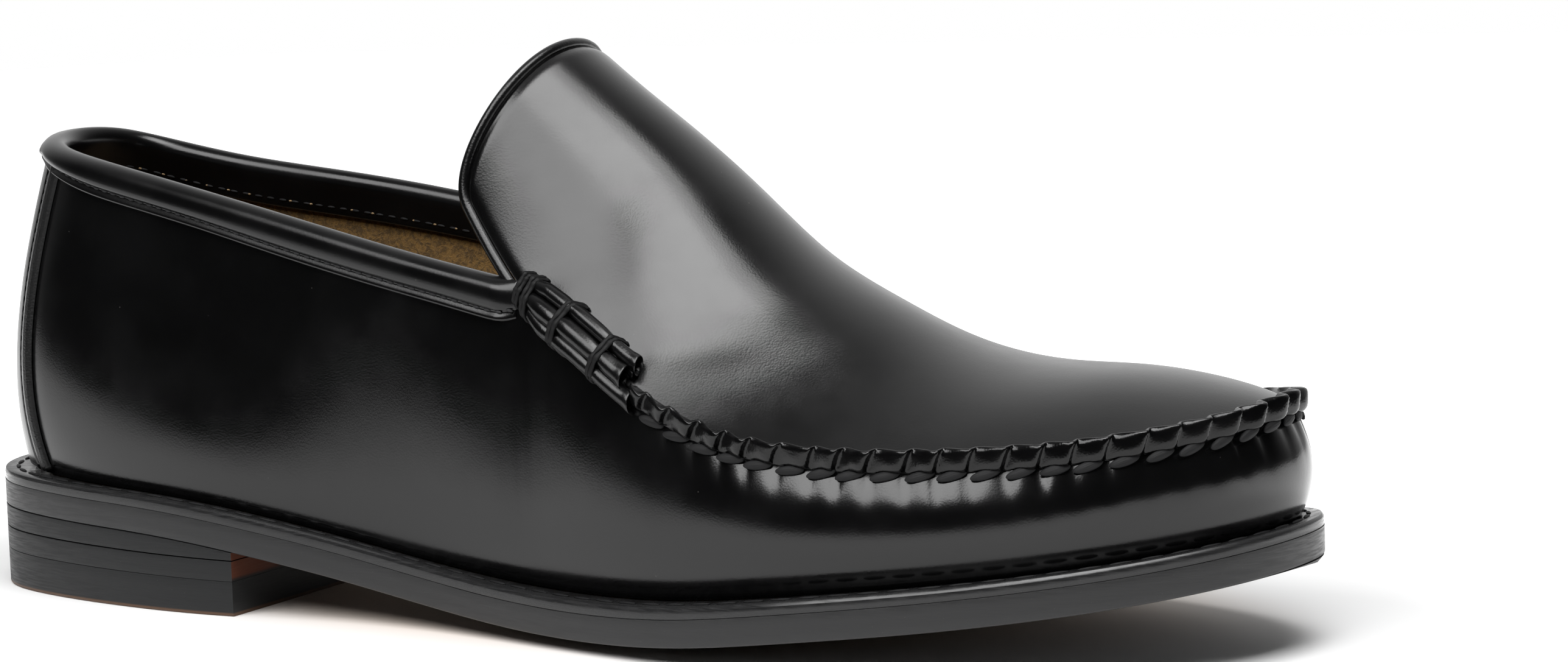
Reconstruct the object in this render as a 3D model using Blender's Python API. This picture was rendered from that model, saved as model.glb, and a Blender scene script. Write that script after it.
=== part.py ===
# A right-foot venetian loafer, built piece by piece at its real size.
# Design sizes are in millimetres: x runs from the heel back (0) to the toe tip (300),
# y is negative on the outer side of the foot, and z is the height above the floor.
import bpy
import bmesh
import numpy as np

MM = 0.001
GAP = 0.3
WALL = 2.0

# The layers of the bottom. The heel's joints have a height at the back and one at the breast.
OUTSOLE_THICK = 5.2
WELT_THICK = 2.3
WELT_SETBACK = 0.4
WELT_UNDER_UPPER = 3.2
INSOLE_THICK = 4.6
INSOLE_SETBACK = 4.0
BREAST_ROW = 4.18
HEEL_TOP_PIECE = (8.2, 7.3)
HEEL_LOWER_LIFT = (13.2, 11.7)

# The folded strip on the collar, and how many rows before the throat it stops.
BINDING_DEPTH = 7.6
BINDING_THICK = 1.3
BINDING_STOP = 0.27
BINDING_INSIDE = -WALL - 0.5

# The strap over the heel seam: its half width in rows from the welt up to the binding.
COUNTER_REACH = (1.95, 1.78, 1.74, 1.86, 2.1)
COUNTER_FOOT = 0.02
COUNTER_THICK = 1.1

# The tongue's rounded end, in rows, the power of its rounding, and the piping round it.
TONGUE_ROUND = 0.85
TONGUE_SQUARE = 2.3
PIPING_RADIUS = 1.3
PIPING_SIDES = 8
PIPING_STOP = 0.5

# The bundle of rolled strands, between two rows past the throat.
ROLL_START = 0.25
ROLL_END = 2.02
ROLL_CENTRE = 1.2
ROLL_HALF = 4.9
ROLL_RISE = 3.3
ROLL_RIB = 0.8

# The pleated seam, whose pleats are a length of rows apart and rise in turn.
SEAM_START = 2.1
PLEAT_PITCH = 0.28
PLEAT_LIFT = 0.7

# How finely the surfaces are cut: rows between sections, and points along or across.
ROW_STEP = 0.5
END_POINTS = 5
WALL_POINTS = 9
APRON_POINTS = 19
SOLE_POINTS = 9
LAYER_POINTS = 5
HEEL_SECTIONS = 6
COUNTER_POINTS = (11, 9)
SLOPE_STEP = 0.01
EDGE_HANDLE_MOST = 0.75

# Section rows of the sole from heel back to toe tip: station x, outer edge y, inner edge y,
# and how far the upper's foot line lies inside the edge on the outer and the inner side.
SOLE = (
    # x, outer, inner, outer_inset, inner_inset
    (0.0, 0.0, 0.0, 7.4, 7.4),
    (7.0, -20.1, 20.9, 6.8, 6.8),
    (24.0, -30.2, 32.0, 5.4, 5.4),
    (48.0, -35.7, 34.8, 4.6, 4.4),
    (76.0, -37.8, 30.8, 4.8, 3.6),
    (104.0, -35.7, 26.9, 4.6, 2.8),
    (130.0, -36.9, 27.3, 5.0, 3.2),
    (152.0, -41.4, 31.6, 6.0, 4.4),
    (168.0, -45.2, 37.1, 6.4, 5.6),
    (186.0, -48.7, 43.1, 6.6, 6.4),
    (205.0, -50.5, 47.2, 6.6, 6.6),
    (225.0, -50.0, 47.8, 6.5, 6.6),
    (247.0, -46.1, 44.6, 6.2, 6.3),
    (268.0, -37.7, 39.0, 5.8, 5.9),
    (284.0, -26.5, 31.2, 5.4, 5.5),
    (295.5, -12.0, 20.0, 5.0, 5.1),
    (300.0, 5.0, 5.0, 4.8, 4.8),
)

# Height of the sole's lower edge along the shoe, and how far its middle hangs below the edge.
EDGE = (
    # x, edge height, crown depth
    (0.0, 17.9, 0.0),
    (40.0, 16.6, 0.0),
    (75.0, 14.2, 0.0),
    (115.0, 7.2, 1.0),
    (150.0, 2.9, 3.4),
    (185.0, 3.0, 3.4),
    (215.0, 6.2, 2.8),
    (250.0, 10.3, 2.4),
    (280.0, 14.2, 1.4),
    (300.0, 17.5, 0.6),
)

# Shape of the upper's wall over each station: how its profile stands out and up from the foot
# line, and how it stands out from and hangs down below the top line.
WALL_SHAPE = (
    # foot_out, foot_up, top_out, top_down
    (6.0, 22.0, 8.0, 25.0),
    (5.6, 21.0, 7.6, 25.0),
    (4.8, 19.0, 6.0, 25.0),
    (3.8, 16.5, 3.8, 24.0),
    (3.0, 14.5, 2.2, 23.0),
    (3.0, 13.0, 1.5, 21.0),
    (3.5, 12.0, 1.5, 18.0),
    (4.5, 11.0, 2.0, 16.0),
    (5.0, 10.0, 2.5, 13.0),
    (5.2, 9.5, 3.0, 10.5),
    (5.2, 9.0, 3.5, 9.0),
    (5.0, 8.5, 3.8, 8.5),
    (4.6, 8.0, 3.8, 8.0),
    (4.2, 7.5, 3.6, 7.5),
    (3.8, 7.0, 3.4, 7.0),
    (3.6, 7.0, 3.2, 7.0),
    (3.5, 7.0, 3.0, 7.0),
)

# The collar line of the quarters from the back of the heel to the throat, on each side.
COLLAR = (
    # outer x, y, z, inner x, y, z
    (15.0, 0.0, 97.0, 15.0, 0.0, 97.0),
    (17.5, -9.8, 96.2, 17.5, 9.8, 96.6),
    (26.0, -18.8, 94.0, 25.0, 18.6, 94.0),
    (44.5, -25.0, 90.6, 44.5, 23.8, 89.4),
    (70.5, -28.0, 85.2, 70.5, 26.6, 85.6),
    (97.5, -30.0, 79.2, 97.5, 28.4, 81.4),
    (124.0, -31.7, 73.4, 124.0, 30.4, 76.0),
    (152.4, -33.4, 68.0, 152.4, 32.8, 69.8),
)

# The tongue and apron from the tongue's free end to the toe: outer edge, ridge and inner edge,
# the edge's rise angle in degrees, and the fullness of the edge and of the crown.
APRON = (
    # outer x, y, z, ridge x, y, z, inner x, y, z, rise, edge_full, crown_full
    (131.0, -26.6, 95.0, 147.0, 0.0, 115.6, 131.0, 26.6, 95.2, 76.0, 0.48, 0.58),
    (139.6, -29.4, 82.6, 158.0, 0.5, 106.8, 139.6, 29.0, 83.6, 72.0, 0.45, 0.57),
    (152.4, -33.4, 68.0, 170.5, 1.0, 97.2, 152.4, 32.8, 69.8, 66.0, 0.42, 0.56),
    (165.5, -37.6, 60.4, 184.0, 1.0, 85.8, 164.0, 36.2, 62.0, 60.0, 0.42, 0.54),
    (181.5, -41.0, 50.4, 198.0, 1.2, 73.4, 180.0, 38.8, 52.4, 54.0, 0.42, 0.52),
    (200.0, -42.8, 42.8, 213.5, 1.6, 64.4, 199.0, 41.0, 44.6, 46.0, 0.40, 0.50),
    (221.0, -42.4, 40.0, 229.0, 2.2, 57.2, 220.0, 41.6, 41.2, 38.0, 0.40, 0.48),
    (243.0, -39.2, 40.0, 246.0, 3.0, 53.4, 242.0, 39.8, 40.8, 34.0, 0.40, 0.48),
    (264.0, -32.6, 41.2, 263.0, 4.0, 52.8, 263.0, 35.6, 41.8, 30.0, 0.40, 0.48),
    (279.5, -23.4, 43.2, 277.0, 5.0, 51.2, 279.5, 29.0, 43.4, 28.0, 0.40, 0.48),
    (289.8, -10.5, 45.2, 287.6, 5.4, 48.8, 289.8, 19.0, 45.2, 26.0, 0.40, 0.48),
    (293.8, 4.6, 46.6, 293.8, 4.6, 46.6, 293.8, 4.6, 46.6, 24.0, 0.40, 0.48),
)

# The folded strip's section: depth below the top line, and distance off the wall.
BINDING_PROFILE = (
    # depth, off
    (BINDING_DEPTH, GAP),
    (BINDING_DEPTH, GAP + BINDING_THICK),
    (4.5, 2.1),
    (1.0, 2.0),
    (-1.2, 1.2),
    (-1.9, -1.0),
    (-1.2, -3.2),
    (1.0, -4.0),
    (BINDING_DEPTH, BINDING_INSIDE - 1.0),
    (BINDING_DEPTH, BINDING_INSIDE),
    (-0.5, BINDING_INSIDE),
    (-0.5, GAP),
)

# The pleated seam's section: arc over the edge, height off the surface, share of the pleat's lift.
SEAM_PROFILE = (
    # arc, height, share
    (2.0, 0.5, 0.0),
    (0.0, 0.6, 0.0),
    (-2.8, 0.4, 0.0),
    (-3.2, 1.0, 1.0),
    (-1.6, 2.1, 1.0),
    (0.6, 2.6, 0.0),
    (2.0, 1.5, 0.0),
)

# The strands' seat on the seam: arc and height.
ROLL_SEAT = ((-2.0, 0.5), (0.0, 0.7), (2.0, 0.5))

TIP_ROW = len(SOLE) - 1
THROAT_ROW = len(COLLAR) - 1
APRON_TIP = len(APRON) - 1
APRON_THROAT = APRON_TIP - (TIP_ROW - THROAT_ROW)

BLACK_LEATHER = ("black_leather", (0.012, 0.012, 0.013), 0.16)
SOLE_EDGE = ("sole_edge", (0.022, 0.022, 0.023), 0.45)
HEEL_RUBBER = ("heel_rubber", (0.018, 0.018, 0.018), 0.6)
TAN_LEATHER = ("tan_lining", (0.42, 0.27, 0.13), 0.7)


# A smooth curve through the rows of a table, one unit of its place a row.
def curve(rows, closed=False):
    rows = np.array(rows, float)
    count = len(rows)
    weights = (4 * np.eye(count) + np.eye(count, k=1) + np.eye(count, k=-1)) / 6
    if closed:
        weights[0, -1] = weights[-1, 0] = 1 / 6
    else:
        weights[0] = np.eye(count)[0]
        weights[-1] = np.eye(count)[-1]
    controls = np.linalg.solve(weights, rows)
    if closed:
        controls = np.vstack([controls[-1:], controls, controls[:2]])
    else:
        before = 2 * controls[:1] - controls[1:2]
        after = 2 * controls[-1:] - controls[-2:-1]
        controls = np.vstack([before, controls, after])

    def at(place):
        place = np.asarray(place, float)
        place = place % count if closed else np.clip(place, 0, count - 1)
        first = np.minimum(np.floor(place).astype(int), len(controls) - 4)
        part = (place - first)[..., None]
        return (
            (1 - part) ** 3 * controls[first]
            + (3 * part**3 - 6 * part**2 + 4) * controls[first + 1]
            + (-3 * part**3 + 3 * part**2 + 3 * part + 1) * controls[first + 2]
            + part**3 * controls[first + 3]
        ) / 6

    return at


# The rows of one side followed by the rows of the other, back to the start.
def both_sides(outer, inner):
    return list(outer) + list(inner)[-2:0:-1]


def unit(vectors):
    return vectors / np.maximum(np.linalg.norm(vectors, axis=-1, keepdims=True), 1e-9)


SOLE_LOOP = 2 * TIP_ROW
APRON_LOOP = 2 * APRON_TIP
sole_line = curve(both_sides([r[:2] for r in SOLE], [(r[0], r[2]) for r in SOLE]), closed=True)
inset_line = curve(both_sides([r[3:4] for r in SOLE], [r[4:5] for r in SOLE]), closed=True)
shape_line = curve(both_sides(WALL_SHAPE, WALL_SHAPE), closed=True)
collar_line = curve([r[:3] for r in COLLAR[::-1]] + [r[3:] for r in COLLAR[1:]])
apron_edge = curve([r[:3] for r in APRON] + [r[6:9] for r in APRON[-2::-1]])
apron_ridge = curve([r[3:6] for r in APRON])
apron_shape = curve([r[9:] for r in APRON])
edge_rows = curve(EDGE)(np.linspace(0, len(EDGE) - 1, 40 * len(EDGE)))


def edge_height(x):
    return np.interp(x, edge_rows[:, 0], edge_rows[:, 1])


def crown_depth(x):
    return np.interp(x, edge_rows[:, 0], edge_rows[:, 2])


# The sole's outline at a row place, from the heel back round the outer side to the toe and
# home along the inner side, moved inwards by an inset.
def sole_outline(place, inset=0.0):
    outwards = sole_outwards(place)[..., :2]
    return sole_line(place) - outwards * np.asarray(inset)[..., None]


def sole_outwards(place):
    place = np.asarray(place, float)
    along = unit(sole_line(place + SLOPE_STEP) - sole_line(place - SLOPE_STEP))
    return np.stack([along[..., 1], -along[..., 0], np.zeros(place.shape)], axis=-1)


def foot_line(place):
    foot = sole_outline(place, inset_line(place)[..., 0])
    rise = edge_height(foot[..., 0]) + OUTSOLE_THICK + GAP + WELT_THICK + GAP
    return np.concatenate([foot, rise[..., None]], axis=-1)


# The top line of the wall: the collar behind the throat, the apron's edge before it.
def top_line(place):
    place = np.asarray(place, float) % SOLE_LOOP
    signed = np.where(place > TIP_ROW, place - SOLE_LOOP, place)
    collar = collar_line(THROAT_ROW - signed)
    front = apron_edge(np.clip(place - THROAT_ROW + APRON_THROAT, 0, APRON_LOOP))
    behind = (np.abs(signed) <= THROAT_ROW)[..., None]
    return np.where(behind, collar, front)


def bezier(a, b, c, d, part):
    part = np.asarray(part, float)[..., None]
    rest = 1 - part
    return rest**3 * a + 3 * part * rest**2 * b + 3 * part**2 * rest * c + part**3 * d


# The wall of the upper: a row place round the shoe and a height from 0 at the foot to 1.
def wall_point(place, height):
    foot = foot_line(place)
    top = top_line(place)
    out = sole_outwards(place)
    shape = shape_line(place)
    up = np.array([0.0, 0.0, 1.0])
    low = foot + out * shape[..., 0:1] + up * shape[..., 1:2]
    high = top + out * shape[..., 2:3] - up * shape[..., 3:4]
    return bezier(foot, low, high, top, height)


# The tongue and apron: a row place along it and a place across, -1 outer edge to 1 inner edge.
def apron_point(place, across):
    place = np.asarray(place, float)
    across = np.asarray(across, float)
    outer = apron_edge(place)
    inner = apron_edge(APRON_LOOP - place)
    ridge = apron_ridge(place)
    shape = apron_shape(place)
    middle = (outer + inner) / 2
    half = (outer - inner) / 2
    side = np.where((across < 0)[..., None], 1.0, -1.0)
    edge = np.where((across < 0)[..., None], outer, inner)
    rise = ridge - middle
    width = np.linalg.norm(half, axis=-1, keepdims=True)
    height = np.linalg.norm(rise, axis=-1, keepdims=True)
    angle = np.radians(shape[..., 0:1])
    reach = np.minimum(shape[..., 1:2] * height / np.sin(angle), EDGE_HANDLE_MOST * width / np.cos(angle))
    start = -unit(half) * side * np.cos(angle) + unit(rise) * np.sin(angle)
    handle = edge + start * reach
    crown = ridge + half * side * shape[..., 2:3]
    return bezier(edge, handle, crown, ridge, 1 - np.abs(across))


# The tongue's free end is rounded: each column starts at a later row towards the sides.
def tongue_end(across):
    return TONGUE_ROUND * (1 - (1 - np.abs(across) ** TONGUE_SQUARE) ** (1 / TONGUE_SQUARE))


# The row of a place on the rounded tongue, where rows past the throat are left as they are.
def rounded_row(place, across):
    left = np.clip(1 - place / APRON_THROAT, 0, 1)
    return place + tongue_end(across) * left


SURFACE_LIMITS = {wall_point: (0.0, 1.0), apron_point: (-1.0, 1.0)}


# The outward normals of a surface, by its slopes along its rows and across them.
def normals(surface, first, second):
    first, second = np.broadcast_arrays(np.asarray(first, float), np.asarray(second, float))
    along = surface(first + SLOPE_STEP, second) - surface(first - SLOPE_STEP, second)
    low = np.clip(second - SLOPE_STEP, *SURFACE_LIMITS[surface])
    high = np.clip(second + SLOPE_STEP, *SURFACE_LIMITS[surface])
    return unit(np.cross(along, surface(first, high) - surface(first, low)))


# A grid of points joined to a mesh of quads, or of triangles where two points are one.
def grid_faces(mesh, points, flip=False):
    rows, columns = points.shape[:2]
    corners = [[mesh.verts.new(points[i, j] * MM) for j in range(columns)] for i in range(rows)]
    for i in range(rows - 1):
        for j in range(columns - 1):
            ring = [corners[i][j], corners[i + 1][j], corners[i + 1][j + 1], corners[i][j + 1]]
            mesh.faces.new(ring[::-1] if flip else ring)
    return corners


def add_piece(name, mesh, finish):
    data = bpy.data.meshes.new(name)
    mesh.to_mesh(data)
    mesh.free()
    piece = bpy.data.objects.new(name, data)
    bpy.context.scene.collection.objects.link(piece)
    data.materials.append(material(*finish))
    return piece


def material(name, colour, roughness):
    if name in bpy.data.materials:
        return bpy.data.materials[name]
    made = bpy.data.materials.new(name)
    made.use_nodes = True
    shader = made.node_tree.nodes["Principled BSDF"]
    shader.inputs["Base Color"].default_value = (*colour, 1.0)
    shader.inputs["Roughness"].default_value = roughness
    shader.inputs["Metallic"].default_value = 0.0
    return made


def clean(mesh, distance=0.01):
    bmesh.ops.remove_doubles(mesh, verts=mesh.verts, dist=distance * MM)
    bmesh.ops.dissolve_degenerate(mesh, edges=mesh.edges, dist=distance * MM)


# The doubled points of a closed body are merged and its faces turned outwards.
def close_body(mesh):
    clean(mesh)
    bmesh.ops.recalc_face_normals(mesh, faces=mesh.faces)
    if mesh.calc_volume(signed=True) < 0:
        bmesh.ops.reverse_faces(mesh, faces=mesh.faces)


# A closed body whose cross-sections are closed rings of points, with flat ends.
def swept_body(name, rings, finish, closed=False):
    mesh = bmesh.new()
    count = len(rings)
    loops = [[mesh.verts.new(point * MM) for point in ring] for ring in rings]
    for i in range(count if closed else count - 1):
        here, there = loops[i], loops[(i + 1) % count]
        for j in range(len(here)):
            k = (j + 1) % len(here)
            mesh.faces.new([here[j], here[k], there[k], there[j]])
    if not closed:
        mesh.faces.new(loops[0][::-1])
        mesh.faces.new(loops[-1])
    close_body(mesh)
    return add_piece(name, mesh, finish)


# A plate between two heights inside the sole's outline, from one station row to another.
def plate(name, inset, rows, floor, ceiling, finish, columns=LAYER_POINTS):
    mesh = bmesh.new()
    across = np.linspace(-1, 1, columns)
    outer = sole_outline(rows, inset(rows))
    inner = sole_outline(SOLE_LOOP - rows, inset(SOLE_LOOP - rows))
    part = (across[None, :, None] + 1) / 2
    plan = outer[:, None] * (1 - part) + inner[:, None] * part
    spread = np.broadcast_to(across, plan.shape[:2])
    low = np.dstack([plan, floor(plan[..., 0], spread)])
    high = np.dstack([plan, ceiling(plan[..., 0], spread)])
    grid_faces(mesh, low)
    grid_faces(mesh, high, flip=True)
    for rim in ((low[:, 0], high[:, 0]), (high[:, -1], low[:, -1])):
        grid_faces(mesh, np.stack(rim, axis=1))
    if rows[-1] < TIP_ROW:
        grid_faces(mesh, np.stack((low[-1], high[-1]), axis=1))
    close_body(mesh)
    return add_piece(name, mesh, finish)


# The rows of a round end, which start close together at its tip and reach one row in.
def end_rows():
    return 1 - np.cos(np.linspace(0, np.pi / 2, END_POINTS))


def full_rows():
    middle = np.arange(1 + ROW_STEP, TIP_ROW - 1, ROW_STEP)
    return np.concatenate([end_rows(), middle, TIP_ROW - end_rows()[::-1]])


def heel_rows():
    return np.concatenate([end_rows(), np.linspace(1 + ROW_STEP, BREAST_ROW, HEEL_SECTIONS)])


def no_inset(rows):
    return np.zeros(np.shape(rows))


def sole_bottom(x, across):
    hang = crown_depth(x) * (1 - across**2)
    return np.maximum(edge_height(x) - hang, 0.0)


def level(base):
    return lambda x, across: edge_height(x) + base + 0.0 * across


# A heel layer's joint plane, sloping from its height at the back to its height at the breast.
def joint_plane(heights):
    back, breast = heights
    breast_x = sole_outline(BREAST_ROW)[0]
    return lambda x, across: back + (breast - back) * x / breast_x + 0.0 * across


def lifted(plane, amount):
    return lambda x, across: plane(x, across) + amount


def build_sole():
    top = level(OUTSOLE_THICK)
    plate("outsole", no_inset, full_rows(), sole_bottom, top, SOLE_EDGE, SOLE_POINTS)
    floor_plane = joint_plane((0.0, 0.0))
    top_piece = joint_plane(HEEL_TOP_PIECE)
    lower_lift = joint_plane(HEEL_LOWER_LIFT)
    rows = heel_rows()
    plate("heel_top_piece", no_inset, rows, floor_plane, lifted(top_piece, -GAP), HEEL_RUBBER)
    plate("heel_lower_lift", no_inset, rows, top_piece, lifted(lower_lift, -GAP), SOLE_EDGE)
    plate("heel_upper_lift", no_inset, rows, lower_lift, level(-GAP), SOLE_EDGE)


def build_welt():
    places = np.arange(0, SOLE_LOOP, ROW_STEP)
    outer = sole_outline(places, np.full(places.shape, WELT_SETBACK))
    inner = sole_outline(places, inset_line(places)[:, 0] + WELT_UNDER_UPPER)
    rings = []
    for near, far in zip(outer, inner):
        low = OUTSOLE_THICK + GAP
        high = low + WELT_THICK
        corners = [(near, low), (near, high), (far, high), (far, low)]
        rings.append([np.array([*plan, edge_height(plan[0]) + rise]) for plan, rise in corners])
    swept_body("welt", rings, SOLE_EDGE, closed=True)


def build_insole():
    def inset(rows):
        return inset_line(rows)[..., 0] + INSOLE_SETBACK

    base = OUTSOLE_THICK + GAP
    plate("insole", inset, full_rows(), level(base), level(base + INSOLE_THICK), TAN_LEATHER)


def apron_rows():
    return np.concatenate([np.arange(0, APRON_TIP - 1, ROW_STEP), APRON_TIP - end_rows()[::-1]])


# The wall's columns: even ones round the collar, and before the throat those of the apron's edge.
def wall_places():
    front = apron_rows() - APRON_THROAT + THROAT_ROW
    front = front[front > THROAT_ROW]
    behind = np.arange(0, THROAT_ROW + ROW_STEP, ROW_STEP)
    one_side = np.concatenate([behind, front])
    return np.concatenate([one_side, SOLE_LOOP - one_side[-2::-1]])


# The hollow upper: wall and apron joined along the apron's edge, thickened inwards.
def build_upper():
    mesh = bmesh.new()
    wall = wall_point(wall_places()[:, None], np.linspace(0, 1, WALL_POINTS)[None, :])
    grid_faces(mesh, wall)
    rows = apron_rows()
    across = np.sin(np.linspace(-np.pi / 2, np.pi / 2, APRON_POINTS))
    apron = apron_point(rounded_row(rows[:, None], across[None, :]), across[None, :])
    grid_faces(mesh, apron)
    clean(mesh)
    piece = add_piece("upper", mesh, BLACK_LEATHER)
    wall_skin = piece.modifiers.new("wall", "SOLIDIFY")
    wall_skin.thickness = WALL * MM
    wall_skin.offset = -1.0


# How far up the wall a point lies that is a given length below the top line.
def below_top(place, depth):
    heights = np.linspace(0, 1, 80)
    points = wall_point(np.full(heights.shape, place), heights)
    lengths = np.concatenate([[0], np.cumsum(np.linalg.norm(np.diff(points, axis=0), axis=1))])
    return np.interp(lengths[-1] - depth, lengths, heights)


# A point near the collar, by its depth below the top line and its distance off the wall.
def collar_point(place, depth, off):
    height = below_top(place, max(depth, 0.0))
    normal = normals(wall_point, place, height)
    point = wall_point(place, height) + normal * off
    if depth < 0:
        upwards = unit(wall_point(place, 1.0) - wall_point(place, 0.98))
        point = point - upwards * depth
    return point


# The folded strip round the collar: a channel that straddles the wall's top edge.
def build_collar_binding():
    reach = THROAT_ROW - BINDING_STOP
    columns = np.arange(ROW_STEP - THROAT_ROW, THROAT_ROW, ROW_STEP)
    places = np.concatenate([[-reach], columns, [reach]]) % SOLE_LOOP
    rings = [[collar_point(place, depth, off) for depth, off in BINDING_PROFILE] for place in places]
    swept_body("collar_binding", rings, BLACK_LEATHER)


# The counter strap round the heel, from the welt to the binding.
def build_counter():
    reach = curve([[r] for r in COUNTER_REACH])
    columns, rows = COUNTER_POINTS
    parts = np.linspace(COUNTER_FOOT, 1.0, rows)
    widths = reach(parts * (len(COUNTER_REACH) - 1))[:, 0]
    grid = []
    for side in np.linspace(-1, 1, columns):
        places = side * widths % SOLE_LOOP
        tops = np.array([below_top(place, BINDING_DEPTH + GAP) for place in places])
        normal = normals(wall_point, places, parts * tops)
        grid.append(wall_point(places, parts * tops) + normal * GAP)
    mesh = bmesh.new()
    grid_faces(mesh, np.array(grid))
    piece = add_piece("heel_counter", mesh, BLACK_LEATHER)
    strap = piece.modifiers.new("strap", "SOLIDIFY")
    strap.thickness = COUNTER_THICK * MM
    strap.offset = 1.0


# A point near the apron's seam: an arc length up on the apron or, when negative, down the wall,
# and a height off the surface.
def seam_point(place, arc, height):
    edge = apron_edge(place)
    along = unit(apron_edge(place + SLOPE_STEP) - apron_edge(place - SLOPE_STEP))
    wall_place = place - APRON_THROAT + THROAT_ROW
    down = unit(wall_point(wall_place, 0.9) - edge)
    row = min(place, APRON_LOOP - place)
    angle = np.radians(apron_shape(row)[0])
    level_in = unit(np.cross(np.array([0.0, 0.0, 1.0]), along))
    inwards = unit(level_in * np.cos(angle) + np.array([0.0, 0.0, np.sin(angle)]))
    wall_normal = unit(np.cross(down, along))
    apron_normal = unit(np.cross(along, inwards))
    blend = np.clip(0.5 + arc / 4, 0, 1)
    normal = unit(wall_normal * (1 - blend) + apron_normal * blend)
    base = edge + (inwards * arc if arc > 0 else down * -arc)
    return base + normal * height


# The pleated lip of the hand-sewn seam, one pleat after another round the toe.
def build_apron_seam():
    first = APRON_THROAT + SEAM_START
    pleats = int((APRON_LOOP - 2 * first) / PLEAT_PITCH)
    places = np.linspace(first, APRON_LOOP - first, 2 * pleats + 1)
    rings = []
    for index, place in enumerate(places):
        lift = PLEAT_LIFT * (index % 2)
        rings.append([seam_point(place, arc, height + lift * share) for arc, height, share in SEAM_PROFILE])
    swept_body("apron_seam", rings, BLACK_LEATHER)


# The ribbed section of the bundle of strands: arcs and heights, round it and along its seat.
def roll_section():
    section = []
    for angle in np.linspace(0, np.pi, 10):
        rise = ROLL_RISE + ROLL_RIB * abs(np.cos(1.5 * angle))
        section.append((ROLL_CENTRE + ROLL_HALF * np.cos(angle), 2 * GAP + rise * np.sin(angle)))
    return section + list(ROLL_SEAT)


# The bundle of rolled strands between throat and seam, on one side of the shoe.
def build_side_roll(name, first, last):
    rings = []
    for place in np.linspace(first, last, 9):
        rings.append([seam_point(place, arc, height) for arc, height in roll_section()])
    swept_body(name, rings, BLACK_LEATHER)


def build_side_rolls():
    first = APRON_THROAT + ROLL_START
    last = APRON_THROAT + ROLL_END
    build_side_roll("side_roll_outer", first, last)
    build_side_roll("side_roll_inner", APRON_LOOP - last, APRON_LOOP - first)


# A point of the tongue's free edge: from the throat up the outer side (0 to 1), over the end
# (1 to 2) and down the inner side (2 to 3).
def tongue_edge(part):
    side = min(part, 1.0) if part < 1.5 else min(3.0 - part, 1.0)
    if side < 1.0:
        across = -1.0 if part < 1.5 else 1.0
        place = (APRON_THROAT - PIPING_STOP) * (1 - side)
    else:
        across = np.sin((part - 1.5) * np.pi)
        place = 0.0
    return np.array([rounded_row(place, across), across])


# The round piping along the tongue's free edge.
def build_tongue_piping():
    up_side = np.linspace(0, 1, 7)
    parts = np.concatenate([up_side[:-1], np.linspace(1, 2, 23), 2 + up_side[1:]])
    route = np.array([tongue_edge(part) for part in parts])
    points = apron_point(route[:, 0], route[:, 1])
    normal = normals(apron_point, np.maximum(route[:, 0], 2 * SLOPE_STEP), route[:, 1])
    along = unit(np.gradient(points, axis=0))
    away = unit(np.cross(normal, along))
    rings = []
    for point, out, up in zip(points, away, normal):
        centre = point + out * (PIPING_RADIUS + GAP) - up * WALL / 2
        angles = np.arange(PIPING_SIDES) * 2 * np.pi / PIPING_SIDES
        rings.append([centre + (out * np.cos(a) + up * np.sin(a)) * PIPING_RADIUS for a in angles])
    swept_body("tongue_piping", rings, BLACK_LEATHER)


# The whole shoe is moved so that its origin is the middle of its box, on the floor.
def centre_on_origin():
    points = [v.co for piece in bpy.data.objects for v in piece.data.vertices]
    low = [min(p[axis] for p in points) for axis in range(3)]
    high = [max(p[axis] for p in points) for axis in range(3)]
    for piece in bpy.data.objects:
        for vertex in piece.data.vertices:
            vertex.co.x -= (low[0] + high[0]) / 2
            vertex.co.y -= (low[1] + high[1]) / 2


def main():
    for thing in list(bpy.data.objects):
        bpy.data.objects.remove(thing)
    build_sole()
    build_welt()
    build_insole()
    build_upper()
    build_collar_binding()
    build_counter()
    build_apron_seam()
    build_side_rolls()
    build_tongue_piping()
    centre_on_origin()


main()
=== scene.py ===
# %% [markdown]
# A venetian loafer is a slip-on shoe: one apron runs from the tongue to the toe, and a gathered
# hand-sewn seam joins it to the wall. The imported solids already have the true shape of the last.
# This script dresses them: it repeats the same curves far more finely and adds the seams, threads,
# bindings and finishes. The first step loads the solids as a fixed frame and keeps their box.

# %% Load the frame
import math

import bmesh
import bpy
import numpy as np
from mathutils import Matrix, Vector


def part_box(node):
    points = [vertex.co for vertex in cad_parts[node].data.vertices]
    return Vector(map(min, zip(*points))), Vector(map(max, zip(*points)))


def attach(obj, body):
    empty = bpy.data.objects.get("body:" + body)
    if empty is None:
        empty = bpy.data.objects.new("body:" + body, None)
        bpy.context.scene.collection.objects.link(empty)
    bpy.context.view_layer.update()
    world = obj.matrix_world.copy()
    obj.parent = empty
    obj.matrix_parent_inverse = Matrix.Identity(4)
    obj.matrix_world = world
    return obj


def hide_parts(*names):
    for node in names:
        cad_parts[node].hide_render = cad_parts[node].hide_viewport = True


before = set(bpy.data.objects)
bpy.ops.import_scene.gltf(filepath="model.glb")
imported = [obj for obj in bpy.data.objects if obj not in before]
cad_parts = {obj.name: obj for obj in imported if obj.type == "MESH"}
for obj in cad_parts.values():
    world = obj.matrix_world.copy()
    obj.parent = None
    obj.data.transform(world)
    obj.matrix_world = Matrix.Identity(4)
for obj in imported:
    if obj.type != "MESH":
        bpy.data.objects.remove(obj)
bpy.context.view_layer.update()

print("solids in the frame:", len(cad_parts))

# %% [markdown]
# Sizes are in millimetres in the shoemaker's own frame: x runs from the back of the heel (0) to
# the toe tip (300), y is negative on the outer side of the foot and z is the height above the
# floor. The sole table gives the outline, and how far inside it the upper meets the welt.

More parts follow.
